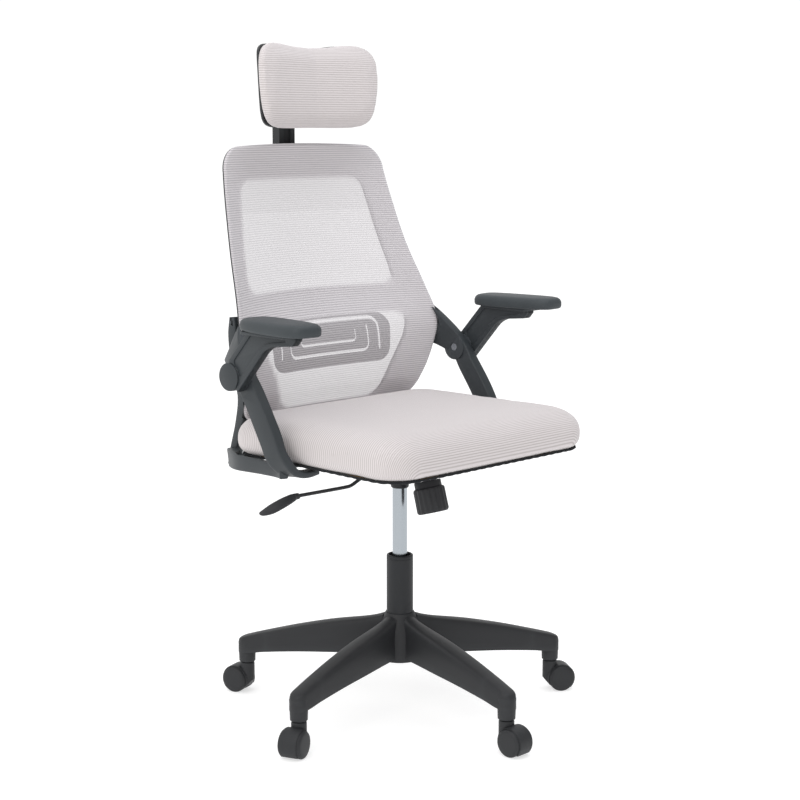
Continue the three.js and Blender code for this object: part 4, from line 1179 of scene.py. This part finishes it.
# --------------------------------------------------------------------------- the seat
@dataclass
class Seat:
    """The plywood board, its foam cushion in ribbed knit and the black cloth stapled below it."""

    half: float = 264.0
    front: float = -250.0
    rear: float = 192.0
    corner: float = 60.0
    rear_corner: float = 42.0
    bottom: float = 499.5
    top: float = 577.0
    cover_scallop: float = 21.0

    def outline(self, inset: float, z: float, arc: int = 12, side: int = 14) -> list[Vector]:
        """The seat's rounded outline, drawn in by an inset, at a height."""
        front, rear = self.front + inset, self.rear - inset
        corners = [(self.half - inset, front, -90), (self.half - 8 - inset, rear, 0),
                   (-self.half + 8 + inset, rear, 90), (-self.half + inset, front, 180)]
        turns: list[list[Vector]] = []
        for x, y, start in corners:
            radius = (self.corner if y < 0 else self.rear_corner) - inset * (0.6 if y < 0 else 0.25)
            cx, cy = x - math.copysign(radius, x), y - math.copysign(radius, y)
            angles = [math.radians(start + 90 * k / arc) for k in range(arc + 1)]
            turns.append([Vector((cx + radius * math.cos(a), cy + radius * math.sin(a), z)) for a in angles])
        out: list[Vector] = []
        for i, turn in enumerate(turns):
            out += turn
            a, b = turn[-1], turns[(i + 1) % 4][0]
            out += [a.lerp(b, k / side) for k in range(1, side)]
        return out

    def slab(self, inset: float, low: float, high: float) -> Shape:
        """The outline made solid between two heights."""
        return Shape().loft([self.outline(inset, low), self.outline(inset, high)])

    def cushion(self) -> Shape:
        """The foam's shape before its cover swells, a little inside the finished size."""
        low = self.bottom
        rings = [(60, low + 1), (22, low + 1), (8, low + 2.2), (1, low + 7.5), (-2.2, low + 17), (-3, 529),
                 (-1, 543),
                 (5, 554), (15, 562), (29, 568), (52, 571.6), (84, 573.6), (150, 574.6)]
        return Shape().loft([self.outline(inset, z) for inset, z in rings])

    def rib_place(self, p: Vector, normal: Vector) -> float:
        """Distance along the cloth across its ribs: they run side to side over the top and down the front."""
        forward, back, aside = max(0.0, -normal.y), max(0.0, normal.y), abs(normal.x)
        total = normal.y**2 + aside**2 + 1e-4
        drop = self.top - p.z
        return p.y - drop * forward**2 / total + drop * back**2 / total

    def under_cover(self) -> Shape:
        """The black cloth: flat below the board, drawn up in small scallops between its staples."""
        rows = []
        for inset, z, wave in ((9.0, 504.0, 0.2), (8.0, 501.0, 1.0), (11.0, 499.4, 1.0), (24, 498.2, 0.2),
                               (60, 497.9, 0.0), (120, 497.9, 0.0), (180, 497.9, 0.0)):
            ring = self.outline(inset, z, arc=30, side=90)
            length = 0.0
            row = []
            for a, b in zip(ring, ring[1:] + ring[:1]):
                lift = wave * abs(math.sin(math.pi * length / self.cover_scallop))
                row.append(a + Vector((0, 0, -lift)))
                length += (b - a).length
            rows.append(row)
        made = Shape().loft(rows, caps=False)
        middle = [len(made.points) - len(rows[-1]) + k for k in range(len(rows[-1]))]
        made.faces.append(tuple(middle))
        return made

    def build(self) -> None:
        """Makes the cushion and the under cover, and dresses the board."""
        cushion = make_piece("ribbed_seat_cushion", self.cushion(), SEAT_KNIT)
        inflate(cushion, voxel=6.0, cap=5.5)
        set_value(cushion, "rib", self.rib_place)
        subdivide(cushion)
        place_piece(cushion, "seat", "seat_fabric", "seat_cushion")
        cover = make_piece("stapled_under_cover", self.under_cover(), UNDER_CLOTH, sharp=60, closed=False)
        place_piece(cover, "seat", "under_cloth", "seat_under_cover")
        dress_node("seat_board", PLYWOOD, bevel=0.5)


# --------------------------------------------------------------------------- the backrest
@dataclass
class Backrest:
    """The moulded frame with its crossbar and lumbar pad, under one stretched sheet of ribbed spacer mesh."""

    bottom: float = 552.0
    top: float = 1054.0
    corner: float = 44.0
    depth: float = 10.0
    arch: float = 7.0
    half: tuple[Station, ...] = ((552, 206), (600, 231), (660, 248.5), (715, 257), (780, 244.5), (860, 228),
                                 (940, 215.5),
                                 (1000, 207), (1051, 200))
    edge: tuple[Station, ...] = ((552, 194), (575, 181), (600, 166), (660, 151), (715, 148), (780, 171),
                                 (860, 205),
                                 (940, 231), (1000, 247), (1051, 257))
    hollow: tuple[Station, ...] = ((552, 16), (600, 22), (660, 36), (715, 52), (780, 72), (860, 62),
                                   (940, 50),
                                   (1000, 42), (1051, 12))
    window: tuple[Station, ...] = ((563, 126), (600, 143), (628, 155), (664, 175), (687, 187), (720, 194),
                                   (780, 192),
                                   (820, 189), (880, 179), (960, 165), (996, 158))
    window_bottom: float = 563.0
    window_top: float = 996.0
    window_corner: float = 30.0
    bar_bottom: float = 734.0
    bar_top: float = 777.0
    rib_pitch: float = 4.2
    rib_height: float = 0.3

    def point(self, x: float, z: float, depth: float = 0.0) -> Vector:
        """A point of the backrest's hollow surface, moved rearward by a depth."""
        across = x / between(self.half, z)
        arch = (self.arch * (1 - (x / between(self.half, self.top)) ** 2) - 1.5) * smoothstep(930.0,
                                                                                              self.top, z)
        return Vector((x, between(self.edge, z) + between(self.hollow, z) * (1 - across * across) + depth,
                       z + arch))

    def half_outline(self, low: float, high: float, radius: float, half: Sequence[Station], arc: int = 10,
                     side: int = 36) -> list[Vector]:
        """Half an outline in (x, z), from its bottom middle to its top middle."""
        low_x, high_x = between(half, low + radius) - radius, between(half, high - radius) - radius

        def turn(cx: float, cz: float, start: float) -> list[Vector]:
            """A corner's arc."""
            angles = [math.radians(start + 90 * (k + 0.5) / arc) for k in range(arc)]
            return [Vector((cx + radius * math.cos(a), cz + radius * math.sin(a))) for a in angles]

        levels = [low + radius + (high - low - 2 * radius) * k / (side - 1) for k in range(side)]
        flat = [k / 8 for k in range(9)]
        return [*[Vector((low_x * f, low)) for f in flat], *turn(low_x, low + radius, -90),
                *[Vector((between(half, z), z)) for z in levels], *turn(high_x, high - radius, 0),
                *[Vector((high_x * f, high)) for f in reversed(flat)]]

    def whole(self, right: Sequence[Vector]) -> list[Vector]:
        """A whole outline from its right half, without repeating the middle points."""
        return [*right, *[Vector((-p.x, p.y)) for p in reversed(right[1:-1])]]

    def frame_shape(self) -> Shape:
        """The frame: a rail round the window and an arched crossbar."""
        outer = self.whole(self.half_outline(self.bottom, self.top, self.corner, self.half))
        inner = self.whole(self.half_outline(self.window_bottom, self.window_top, self.window_corner,
                                             self.window))
        d = self.depth
        section = [(0.0, 1.6), (0.012, 0.5), (0.04, 0.0), (0.5, 0.0), (0.95, 0.0), (0.985, 0.4), (1.0, 1.4),
                   (1.0, d - 3.4),
                   (0.97, d - 2.2), (0.9, d - 1.6), (0.5, d), (0.06, 5.6), (0.015, 5.2), (0.0, 4.2)]
        rail = []
        for a, b in zip(outer, inner):
            rail.append([self.point(a.x + (b.x - a.x) * f, a.y + (b.y - a.y) * f, depth) for f,
                         depth in section])
        made = Shape().loft(rail, closed_row=True)
        bar = []
        for k in range(41):
            f = -1 + k / 20
            x, low, high = f * 200, self.bar_bottom, self.bar_top + 4 * (1 - f * f)
            rows = [(low + 1, 0.4), ((low + high) / 2, 0.4), (high - 1, 0.4), (high, 1.4), (high, d - 3.2),
                    (high - 1.5, d - 2),
                    ((low + high) / 2, d - 1), (low + 1.5, d - 2), (low, d - 3.2), (low, 1.4)]
            bar.append([self.point(x, z, depth) for z, depth in rows])
        return made.join(Shape().loft(bar))

    def reach(self, z: float, grow: float = 1.0) -> float:
        """Half the cloth's width at a height, with its rounded corners."""
        low, high, radius = self.bottom - grow, self.top + grow, self.corner + grow
        if z > high - radius:
            middle = between(self.half, high - radius) + grow - radius
            return middle + math.sqrt(max(0.0, radius**2 - (z - high + radius) ** 2))
        if z < low + radius:
            middle = between(self.half, low + radius) + grow - radius
            return middle + math.sqrt(max(0.0, radius**2 - (z - low - radius) ** 2))
        return between(self.half, z) + grow

    def cloth(self) -> Shape:
        """The mesh sheet, ribbed side to side, its rim drawn back over the frame's edge."""
        rim = 1.0
        step = self.rib_pitch / 4
        low, high = self.bottom - rim, self.top + rim
        levels = [low + 0.3, *[low + step * k for k in range(1, int((high - low) / step))], high - 0.3]
        columns = 34
        fractions = [math.sin(math.pi / 2 * k / columns) for k in range(-columns, columns + 1)]
        rows = []
        for z in levels:
            reach = self.reach(z, rim)
            swell = 0.5 * self.rib_height * math.cos(2 * math.pi * z / self.rib_pitch)
            row = []
            for f in fractions:
                x = reach * f
                inset = min(reach * (1 - abs(f)) + 0.4, z - low + 0.4, high - z + 0.4)
                roll = 3.6 * (1 - smoothstep(0.0, 7.0, inset)) ** 1.5
                row.append(self.point(x, z, -3.0 - swell + roll))
            rows.append(row)
        return Shape().grid(rows)

    def lining(self, p: Vector) -> float:
        """How far the mesh is doubled by a lining: 1 over the frame and the crossbar, 0 over the windows."""
        across = between(self.window, p.z) - abs(p.x)
        up = min(p.z - self.window_bottom, self.window_top - p.z,
                 max(p.z - self.bar_top - 4, self.bar_bottom - p.z))
        radius = self.window_corner
        depth = radius - math.hypot(max(0.0, radius - across), max(0.0, radius - up))
        return 1.0 - smoothstep(-2.0, 9.0, depth)

    def loop(self, half: float, closed_z: float, open_z: float, corner: float, up: int,
             width: float) -> list[Vector]:
        """A U-shaped slot with round bends and round ends; up is 1 when it opens upward."""
        def bent(offset: float) -> list[Vector]:
            """The line that runs beside the slot's middle at an offset."""
            radius = corner + offset
            left = [math.radians(180 + 90 * k / 6) for k in range(7)]
            right = [math.radians(270 + 90 * k / 6) for k in range(7)]
            cz = closed_z + up * corner
            line = [Vector((-half - offset, open_z))]
            line += [Vector((-half + corner + radius * math.cos(a),
                             cz + up * radius * math.sin(a))) for a in left]
            line += [Vector((half - corner + radius * math.cos(a),
                             cz + up * radius * math.sin(a))) for a in right]
            return [*line, Vector((half + offset, open_z))]

        def end(x: float, flip: int) -> list[Vector]:
            """The round end of one arm of the slot."""
            angles = [math.pi * k / 6 for k in range(1, 6)]
            return [Vector((x + flip * width / 2 * math.cos(a),
                            open_z + up * width / 2 * math.sin(a))) for a in angles]

        outside, inside = bent(width / 2), bent(-width / 2)
        return [*outside, *end(half, 1), *reversed(inside), *end(-half, 1)]

    def lumbar_pad(self) -> Shape:
        """The lumbar pad: a thin slotted plate bent onto the back of the mesh."""
        flat = filleted([(-149, 636, 28), (149, 636, 28), (157, 731, 28), (-157, 731, 28)], 10)
        slots = [self.loop(128, 722, 662, 18, -1, 7), self.loop(102, 660, 706, 14, 1, 6),
                 self.loop(72, 680, 700, 8, 1, 5)]
        made = plate(flat, 5.0, 0.9, slots, step=14.0)
        made.points = [self.point(p.x, p.y, 3.7 + p.z) for p in made.points]
        return made

    def build(self) -> None:
        """Makes the frame, the lumbar pad and the mesh."""
        piece = make_piece("moulded_back_frame", self.frame_shape(), BLACK_NYLON, sharp=40)
        place_piece(piece, "seat", "black_nylon", "back_frame")
        pad = make_piece("slotted_lumbar_pad", self.lumbar_pad(), BLACK_NYLON, sharp=40)
        place_piece(pad, "seat", "black_nylon", "lumbar_pad")
        cloth = make_piece("ribbed_back_mesh", self.cloth(), BACK_KNIT, sharp=180, closed=False)
        set_value(cloth, "rib", lambda p, normal: p.z)
        set_value(cloth, "lining", lambda p, normal: self.lining(p))
        place_piece(cloth, "seat", "mesh_fabric", "back_mesh")


# --------------------------------------------------------------------------- side frames and arms
@dataclass
class Pivot:
    """Where the arms turn on the side frames."""

    y: float = 115.0
    z: float = 655.0
    inner_x: float = 271.0
    joint_x: float = 295.0
    outer_x: float = 313.5
    radius: float = 25.5


@dataclass
class SideFrames:
    """The moulded struts, lower bars and uprights that tie the back and the arms to the seat."""

    pivot: Pivot
    seat: Seat
    back: Backrest
    strut: tuple[BarStation, ...] = (
        BarStation((243, 178, 706), 84, 14), BarStation((254, 168, 700), 76, 16),
        BarStation((270, 141, 682), 56, 19),
        BarStation((283, 109, 655), 42, 18), BarStation((284, 84, 621), 40, 22),
        BarStation((286, 56, 580), 41, 22),
        BarStation((286, 37, 548), 41, 22), BarStation((285, 25, 522), 40, 20),
        BarStation((277, 11, 502), 37, 18, (1, 0, -0.4)), BarStation((263, 0, 490), 33, 13, (0.5, 0, -1)),
        BarStation((244, -5, 487.5), 29, 11, (0, 0, -1)), BarStation((222, -6, 489), 26, 9, (0, 0, -1)),
    )
    lower_bar: tuple[BarStation, ...] = (
        BarStation((277, 14, 490), 20, 16), BarStation((267, 40, 490), 23, 16),
        BarStation((259, 90, 489), 26, 16),
        BarStation((246, 168, 486), 31, 18), BarStation((214, 224, 482), 36, 20),
        BarStation((203, 238, 480), 34, 20),
    )
    upright: tuple[BarStation, ...] = (
        BarStation((202, 237, 466), 18, 20), BarStation((202, 229, 498), 18, 20),
        BarStation((202, 212, 550), 20, 20),
        BarStation((208, 197, 600), 24, 19), BarStation((228, 188, 660), 28, 18),
        BarStation((238, 187, 715), 24, 16),
        BarStation((238, 190, 750), 14, 12),
    )

    def boss(self) -> Shape:
        """The round boss that carries the arm, with a sunk screw seat on its inner face."""
        p = self.pivot
        r, inner, outer = p.radius, p.inner_x, p.joint_x - 0.4
        profile = [(8.0, inner + 4), (8.0, inner + 0.6), (8.6, inner), (r - 1.6, inner),
                   (r - 0.4, inner + 0.5),
                   (r, inner + 1.6), (r, outer), (5.2, outer), (5.2, inner + 4), (8.0, inner + 4)]
        return Shape().turned(profile, 64, along_x(p.y, p.z))

    def rooms(self) -> list[Shape]:
        """The spaces kept clear for the seat, the backrest and the arm."""
        p = self.pivot
        seat = self.seat.slab(-1.5, 495.9, 590)
        low, high = self.back.bottom - 3, self.back.top
        levels = np.linspace(low, 800.0, 40)
        rows = []
        for z in levels:
            reach = self.back.reach(float(z), 2.0)
            steps = [math.sin(math.pi / 2 * k / 8) for k in range(-8, 9)]
            front = [self.back.point(reach * f, float(z), -8) for f in steps]
            rear = [self.back.point(reach * f, float(z), self.back.depth + 2.4) for f in reversed(steps)]
            rows.append(front + rear)
        back = Shape().loft(rows)
        arm = Shape().turned([(0, p.joint_x - 0.4), (40, p.joint_x - 0.4), (40, 330), (0, 330)], 48,
                             along_x(p.y, p.z))
        sink = Shape().turned([(0, p.inner_x - 10), (8.0, p.inner_x - 10), (8.0, p.inner_x + 4),
                               (0, p.inner_x + 4)], 32,
                              along_x(p.y, p.z))
        return [seat, back, arm, sink]

    def build(self) -> None:
        """Makes the right and left frames and dresses their bolts."""
        feet = []
        for y0, y1 in ((52, 88), (150, 190)):
            outline = filleted([(150, y0, 4), (240, y0, 2), (240, y1, 2), (150, y1, 4)], 4)
            feet.append(plate(outline, 9.6, 0.8).moved(Matrix.Translation((0, 0, 490.8))))
        for side in ("left", "right"):
            parts = []
            for part, shape in (("strut", Shape().bar(self.strut, radius=3.2)),
                                ("lower_bar", Shape().bar(self.lower_bar, radius=3.0)),
                                ("upright", Shape().bar(self.upright, radius=3.0))):
                cut = carved(make_piece(f"part_{part}", shape, CHARCOAL_NYLON), self.rooms())
                made = Shape([(v.co - AXIS) / MM for v in cut.data.vertices],
                             [tuple(f.vertices) for f in cut.data.polygons])
                bpy.data.objects.remove(cut)
                parts.append(made)
            whole = Shape().join(*parts, self.boss(), *feet)
            if side == "right":
                whole = whole.mirrored()
            piece = make_piece(f"moulded_side_frame_{side}", whole, CHARCOAL_NYLON, sharp=34)
            place_piece(piece, "seat", "charcoal_nylon", f"side_frame_{side}")
            dress_node(f"pivot_bolt_{side}", CHROME, bevel=0.3)


@dataclass
class Arms:
    """The flip-up arms: a ribbed web on the pivot, the flange below the pad, and the pad."""

    pivot: Pivot
    pad_length: float = 180.0
    pad_width: float = 79.0
    pad_bottom: float = 743.4
    pad_top: float = 766.0
    pad_x: float = 311.0
    pad_y: float = -18.0
    toe_out: float = 7.0
    outline: tuple[tuple[float, float, float], ...] = (
        (95, 630, 0), (16, 717, 58), (-48, 723, 5), (-58, 734, 3), (-57, 743, 0.6), (62, 743, 4),
        (117, 684, 0))
    panel: tuple[tuple[float, float, float], ...] = (
        (88, 655, 6), (25, 722, 54), (-34, 730.5, 1.5), (-34, 735.4, 1.5), (56, 735.4, 5), (104, 684, 6))

    def web(self) -> Shape:
        """The web: a raised rim round a sunk panel, the knuckle and the flange."""
        p = self.pivot
        thick, middle = p.outer_x - p.joint_x, (p.outer_x + p.joint_x) / 2
        outer, panel = filleted(self.outline, 10), filleted(self.panel, 10)
        rim = plate(outer, thick, 1.1, [panel]).moved(side_matrix(middle))
        core = plate(filleted(self.outline, 10), thick - 3.4, 0.6).moved(side_matrix(middle))
        knuckle = Shape().turned([(5.2, p.joint_x), (p.radius - 0.8, p.joint_x), (p.radius, p.joint_x + 0.8),
                                  (p.radius, p.outer_x - 0.8), (p.radius - 0.8, p.outer_x), (5.2, p.outer_x),
                                  (5.2, p.joint_x)], 72, along_x(p.y, p.z))
        flange = plate(filleted([(284, -60, 6), (338, -60, 6), (338, 58, 6), (284, 58, 6)], 6), 5.2, 0.8)
        return rim.join(core, knuckle, flange.moved(Matrix.Translation((0, 0, 740.5))))

    def pad(self) -> Shape:
        """The pad, with full rounded edges and a slightly crowned top that thins toward its front."""
        low, top = self.pad_bottom, self.pad_top
        rings = [(9, low), (3.0, low + 0.3), (0.9, low + 2), (0.0, low + 5.5), (0.0, low + 11),
                 (0.7, top - 8.5),
                 (2.6, top - 4.8), (6.0, top - 2.2), (11, top - 0.9), (19, top - 0.35), (30, top - 0.05)]
        sections = []
        for inset, z in rings:
            ring = []
            for p in rounded_section(self.pad_width - 2 * inset, self.pad_length - 2 * inset, 4.2, 56):
                taper = 1 - 0.07 * smoothstep(20, 90, abs(p.y))
                ring.append(Vector((p.x * taper, p.y, z)))
            sections.append(ring)
        turn = Matrix.Translation((self.pad_x, self.pad_y, 0)) @ Matrix.Rotation(math.radians(self.toe_out),
                                                                                 4, "Z")
        return Shape().loft(sections).moved(turn)

    def cap(self) -> Shape:
        """The flat round cover over the pivot, with a fine shadow line round it."""
        p = self.pivot
        r, x = p.radius - 0.5, p.outer_x
        profile = [(0, x + 0.35), (r - 2.2, x + 0.35), (r - 2.0, x + 0.9), (r - 0.3, x + 0.9), (r, x + 1.3),
                   (r, x + 2.3),
                   (r - 0.5, x + 3.0), (r - 1.6, x + 3.45), (0, x + 3.6)]
        return Shape().turned(profile, 72, along_x(p.y, p.z))

    def build(self) -> None:
        """Makes both arms."""
        for side in ("left", "right"):
            parts = {"arm": self.web(), "arm_pad": self.pad(), "pivot_cap": self.cap()}
            if side == "right":
                parts = {word: shape.mirrored() for word, shape in parts.items()}
            names = {"arm": "moulded_arm", "arm_pad": "skinned_arm_pad", "pivot_cap": "moulded_pivot_cap"}
            for word, shape in parts.items():
                finish = SOFT_PAD if word == "arm_pad" else CHARCOAL_NYLON
                piece = make_piece(f"{names[word]}_{side}", shape, finish,
                                   sharp=60 if word == "arm_pad" else 34)
                slot = "soft_pad" if word == "arm_pad" else "charcoal_nylon"
                place_piece(piece, f"arm_{side}", slot, f"{word}_{side}")


# --------------------------------------------------------------------------- the headrest
@dataclass
class Headrest:
    """The sliding post, the hinged shell and the cushion on it."""

    top: tuple[Station, ...] = ((0, 1243), (50, 1246), (95, 1250), (125, 1245), (144, 1230), (151, 1208))
    bottom: tuple[Station, ...] = ((0, 1084), (75, 1084), (110, 1087.5), (127, 1095), (138, 1110),
                                   (146, 1142), (151, 1185))
    thick: tuple[Station, ...] = ((0, 46), (80, 46), (120, 38), (140, 28), (151, 14))
    middle: tuple[Station, ...] = ((0, 240), (80, 231), (120, 219), (151, 207))
    lean: float = 0.07
    stations: tuple[float, ...] = (0, 14, 28, 42, 56, 70, 84, 96, 107, 117, 126, 133, 139, 144, 147.5, 150)
    hinge_y: float = 302.0
    hinge_z: float = 1168.0

    def body(self, front: float, rear: float, shrink: float, power: float, flat: bool = False) -> Shape:
        """A pillow-shaped body across the headrest.

        Args:
            front: depth of its front face from the middle surface, as a share of the half thickness.
            rear: offset of its rear face from the cushion's back, or the share for a full body.
            shrink: how much it is drawn in all round.
            power: squareness of its sections.
            flat: whether it is a thin shell behind the cushion.

        Returns:
            The body.
        """
        xs = [-x for x in reversed(self.stations[1:])] + list(self.stations)
        rows = []
        for x in xs:
            at = abs(x)
            high, low = between(self.top, at) - shrink, between(self.bottom, at) + shrink
            middle, thick = between(self.middle, at), between(self.thick, at)
            if flat:
                y0, y1 = middle + thick / 2 + front, middle + thick / 2 + rear
            else:
                y0, y1 = middle - thick / 2 * front, middle + thick / 2 * rear
            outline = rounded_section(y1 - y0, high - low, power, 36)
            scale = (150 - shrink) / 150
            rows.append([Vector((x * scale, (y0 + y1) / 2 + p.x + p.y * self.lean, (high + low) / 2 + p.y))
                         for p in outline])
        return Shape().loft(rows)

    def shell(self) -> Shape:
        """The thin moulded shell behind the cushion and its two hinge ears."""
        made = self.body(0.4, 8.0, 5.5, 9.0, flat=True)
        for x0 in (20.5, -26.5):
            outline = filleted([(258, 1150, 2), (self.hinge_y, 1157, 4), (self.hinge_y + 9, 1168, 8),
                                (self.hinge_y, 1179, 4), (258, 1190, 2)], 6)
            made.join(plate(outline, 6.0, 0.8).moved(side_matrix(x0 + 3)))
            eye = [(5.3, x0), (10.2, x0), (11, x0 + 0.8), (11, x0 + 5.2), (10.2, x0 + 6), (5.3, x0 + 6),
                   (5.3, x0)]
            made.join(Shape().turned(eye, 40, along_x(self.hinge_y, self.hinge_z)))
        return made

    def rib_place(self, p: Vector, normal: Vector) -> float:
        """Distance along the cloth across its ribs: level on the face, and over the top and bottom edges."""
        up = normal.z * abs(normal.z) / (normal.z**2 + normal.x**2 + normal.y**2 * 0.2 + 1e-4)
        front = between(self.middle, abs(p.x)) - between(self.thick, abs(p.x)) / 2
        return p.z + (p.y - front) * up

    def build(self) -> None:
        """Makes the cushion and the shell, and dresses the post and its holder."""
        cushion = make_piece("ribbed_headrest_cushion", self.body(0.93, 0.9, 2.2, 2.9), HEADREST_KNIT)
        inflate(cushion, voxel=4.0, cap=2.4)
        set_value(cushion, "rib", self.rib_place)
        subdivide(cushion)
        place_piece(cushion, "headrest", "headrest_fabric", "headrest_cushion")
        shell = make_piece("moulded_headrest_shell", self.shell(), BLACK_NYLON, sharp=40)
        place_piece(shell, "headrest", "black_nylon", "headrest_shell")
        dress_node("headrest_bracket", BLACK_NYLON, bevel=1.2)
        dress_node("headrest_post", BLACK_NYLON, bevel=1.0)


# --------------------------------------------------------------------------- the studio
@dataclass
class Studio:
    """A pale floor, soft lights and the camera."""

    camera_place: tuple[float, float, float] = (-2.286, -2.227, 1.10)
    camera_down: float = 9.04
    camera_turn: float = -45.6
    lens: float = 78.6
    sky: float = 1.06
    dim_side: float = 0.45
    floor_glow: float = 0.62

    def lamp(self, name: str, place: tuple[float, float, float], aim: tuple[float, float, float], size: float,
             watts: float, colour: str) -> None:
        """Adds a square soft light.

        Args:
            name: its name.
            place: where it stands, in metres.
            aim: the point it faces.
            size: its side.
            watts: its power.
            colour: its colour.
        """
        data = bpy.data.lights.new(name, "AREA")
        data.size, data.energy, data.color = size, watts, linear(colour)[:3]
        lamp = bpy.data.objects.new(name, data)
        lamp.location = place
        lamp.rotation_euler = (Vector(aim) - Vector(place)).to_track_quat("-Z", "Y").to_euler()
        bpy.context.scene.collection.objects.link(lamp)

    def floor(self) -> None:
        """Lays the floor."""
        mesh = bpy.data.meshes.new("studio_floor")
        reach = 14.0
        mesh.from_pydata([(-reach, -reach, 0), (reach, -reach, 0), (reach, reach, 0), (-reach, reach, 0)], [],
                         [(0, 1, 2, 3)])
        floor = bpy.data.objects.new("studio_floor", mesh)
        material = bpy.data.materials.new("matt_white_floor")
        material.use_nodes = True
        body = material.node_tree.nodes["Principled BSDF"]
        body.inputs["Base Color"].default_value = linear("#C8C8C8")
        body.inputs["Roughness"].default_value = 0.9
        body.inputs["Specular IOR Level"].default_value = 0.0
        body.inputs["Emission Color"].default_value = linear("#FFFFFF")
        body.inputs["Emission Strength"].default_value = self.floor_glow
        mesh.materials.append(material)
        bpy.context.scene.collection.objects.link(floor)

    def build(self) -> None:
        """Sets the camera, the floor, the sky and the lights."""
        scene = bpy.context.scene
        data = bpy.data.cameras.new("camera")
        data.lens, data.sensor_width, data.clip_end = self.lens, 36.0, 60.0
        camera = bpy.data.objects.new("camera", data)
        camera.location = self.camera_place
        camera.rotation_euler = (math.radians(90 - self.camera_down), 0, math.radians(self.camera_turn))
        scene.collection.objects.link(camera)
        scene.camera = camera
        self.floor()
        world = bpy.data.worlds.new("white_studio")
        world.use_nodes = True
        tree = world.node_tree
        sky = tree.nodes["Background"]
        sky.inputs["Color"].default_value = linear("#FFFFFF")
        heading = add_node(tree, "ShaderNodeTexCoord").outputs["Generated"]
        # The white wall runs from the left side to behind the chair; to the right the room falls darker.
        aside = add_node(tree, "ShaderNodeVectorMath", {0: heading}, {1: (0.7, -0.7, 0.0)},
                         operation="DOT_PRODUCT")
        fall = add_node(tree, "ShaderNodeMapRange", {"Value": aside.outputs["Value"]},
                        {"From Min": 0.3, "From Max": 0.8, "To Min": self.sky, "To Max": self.dim_side})
        tree.links.new(fall.outputs["Result"], sky.inputs["Strength"])
        scene.world = world
        scene.view_settings.view_transform = "Standard"
        self.lamp("key", (-2.6, -0.6, 2.6), (0, 0, 0.6), 1.6, 18.0, "#FFFCF8")
        self.lamp("top", (0.2, -0.4, 3.2), (0, 0, 0.5), 2.2, 26.0, "#F4F7FF")


def main() -> None:
    """Builds the chair piece by piece."""
    logging.basicConfig(level=logging.INFO, format="%(name)s: %(message)s")
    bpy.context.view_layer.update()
    Studio().build()
    base, seat, back, pivot = StarBase(), Seat(), Backrest(), Pivot()
    for part in (base, Casters(base), GasLift(), TiltMechanism(), Lever(), seat, back,
                 SideFrames(pivot, seat, back), Arms(pivot), Headrest()):
        part.build()
        log.info("finished %s", type(part).__name__)


if __name__ == "__main__":
    main()
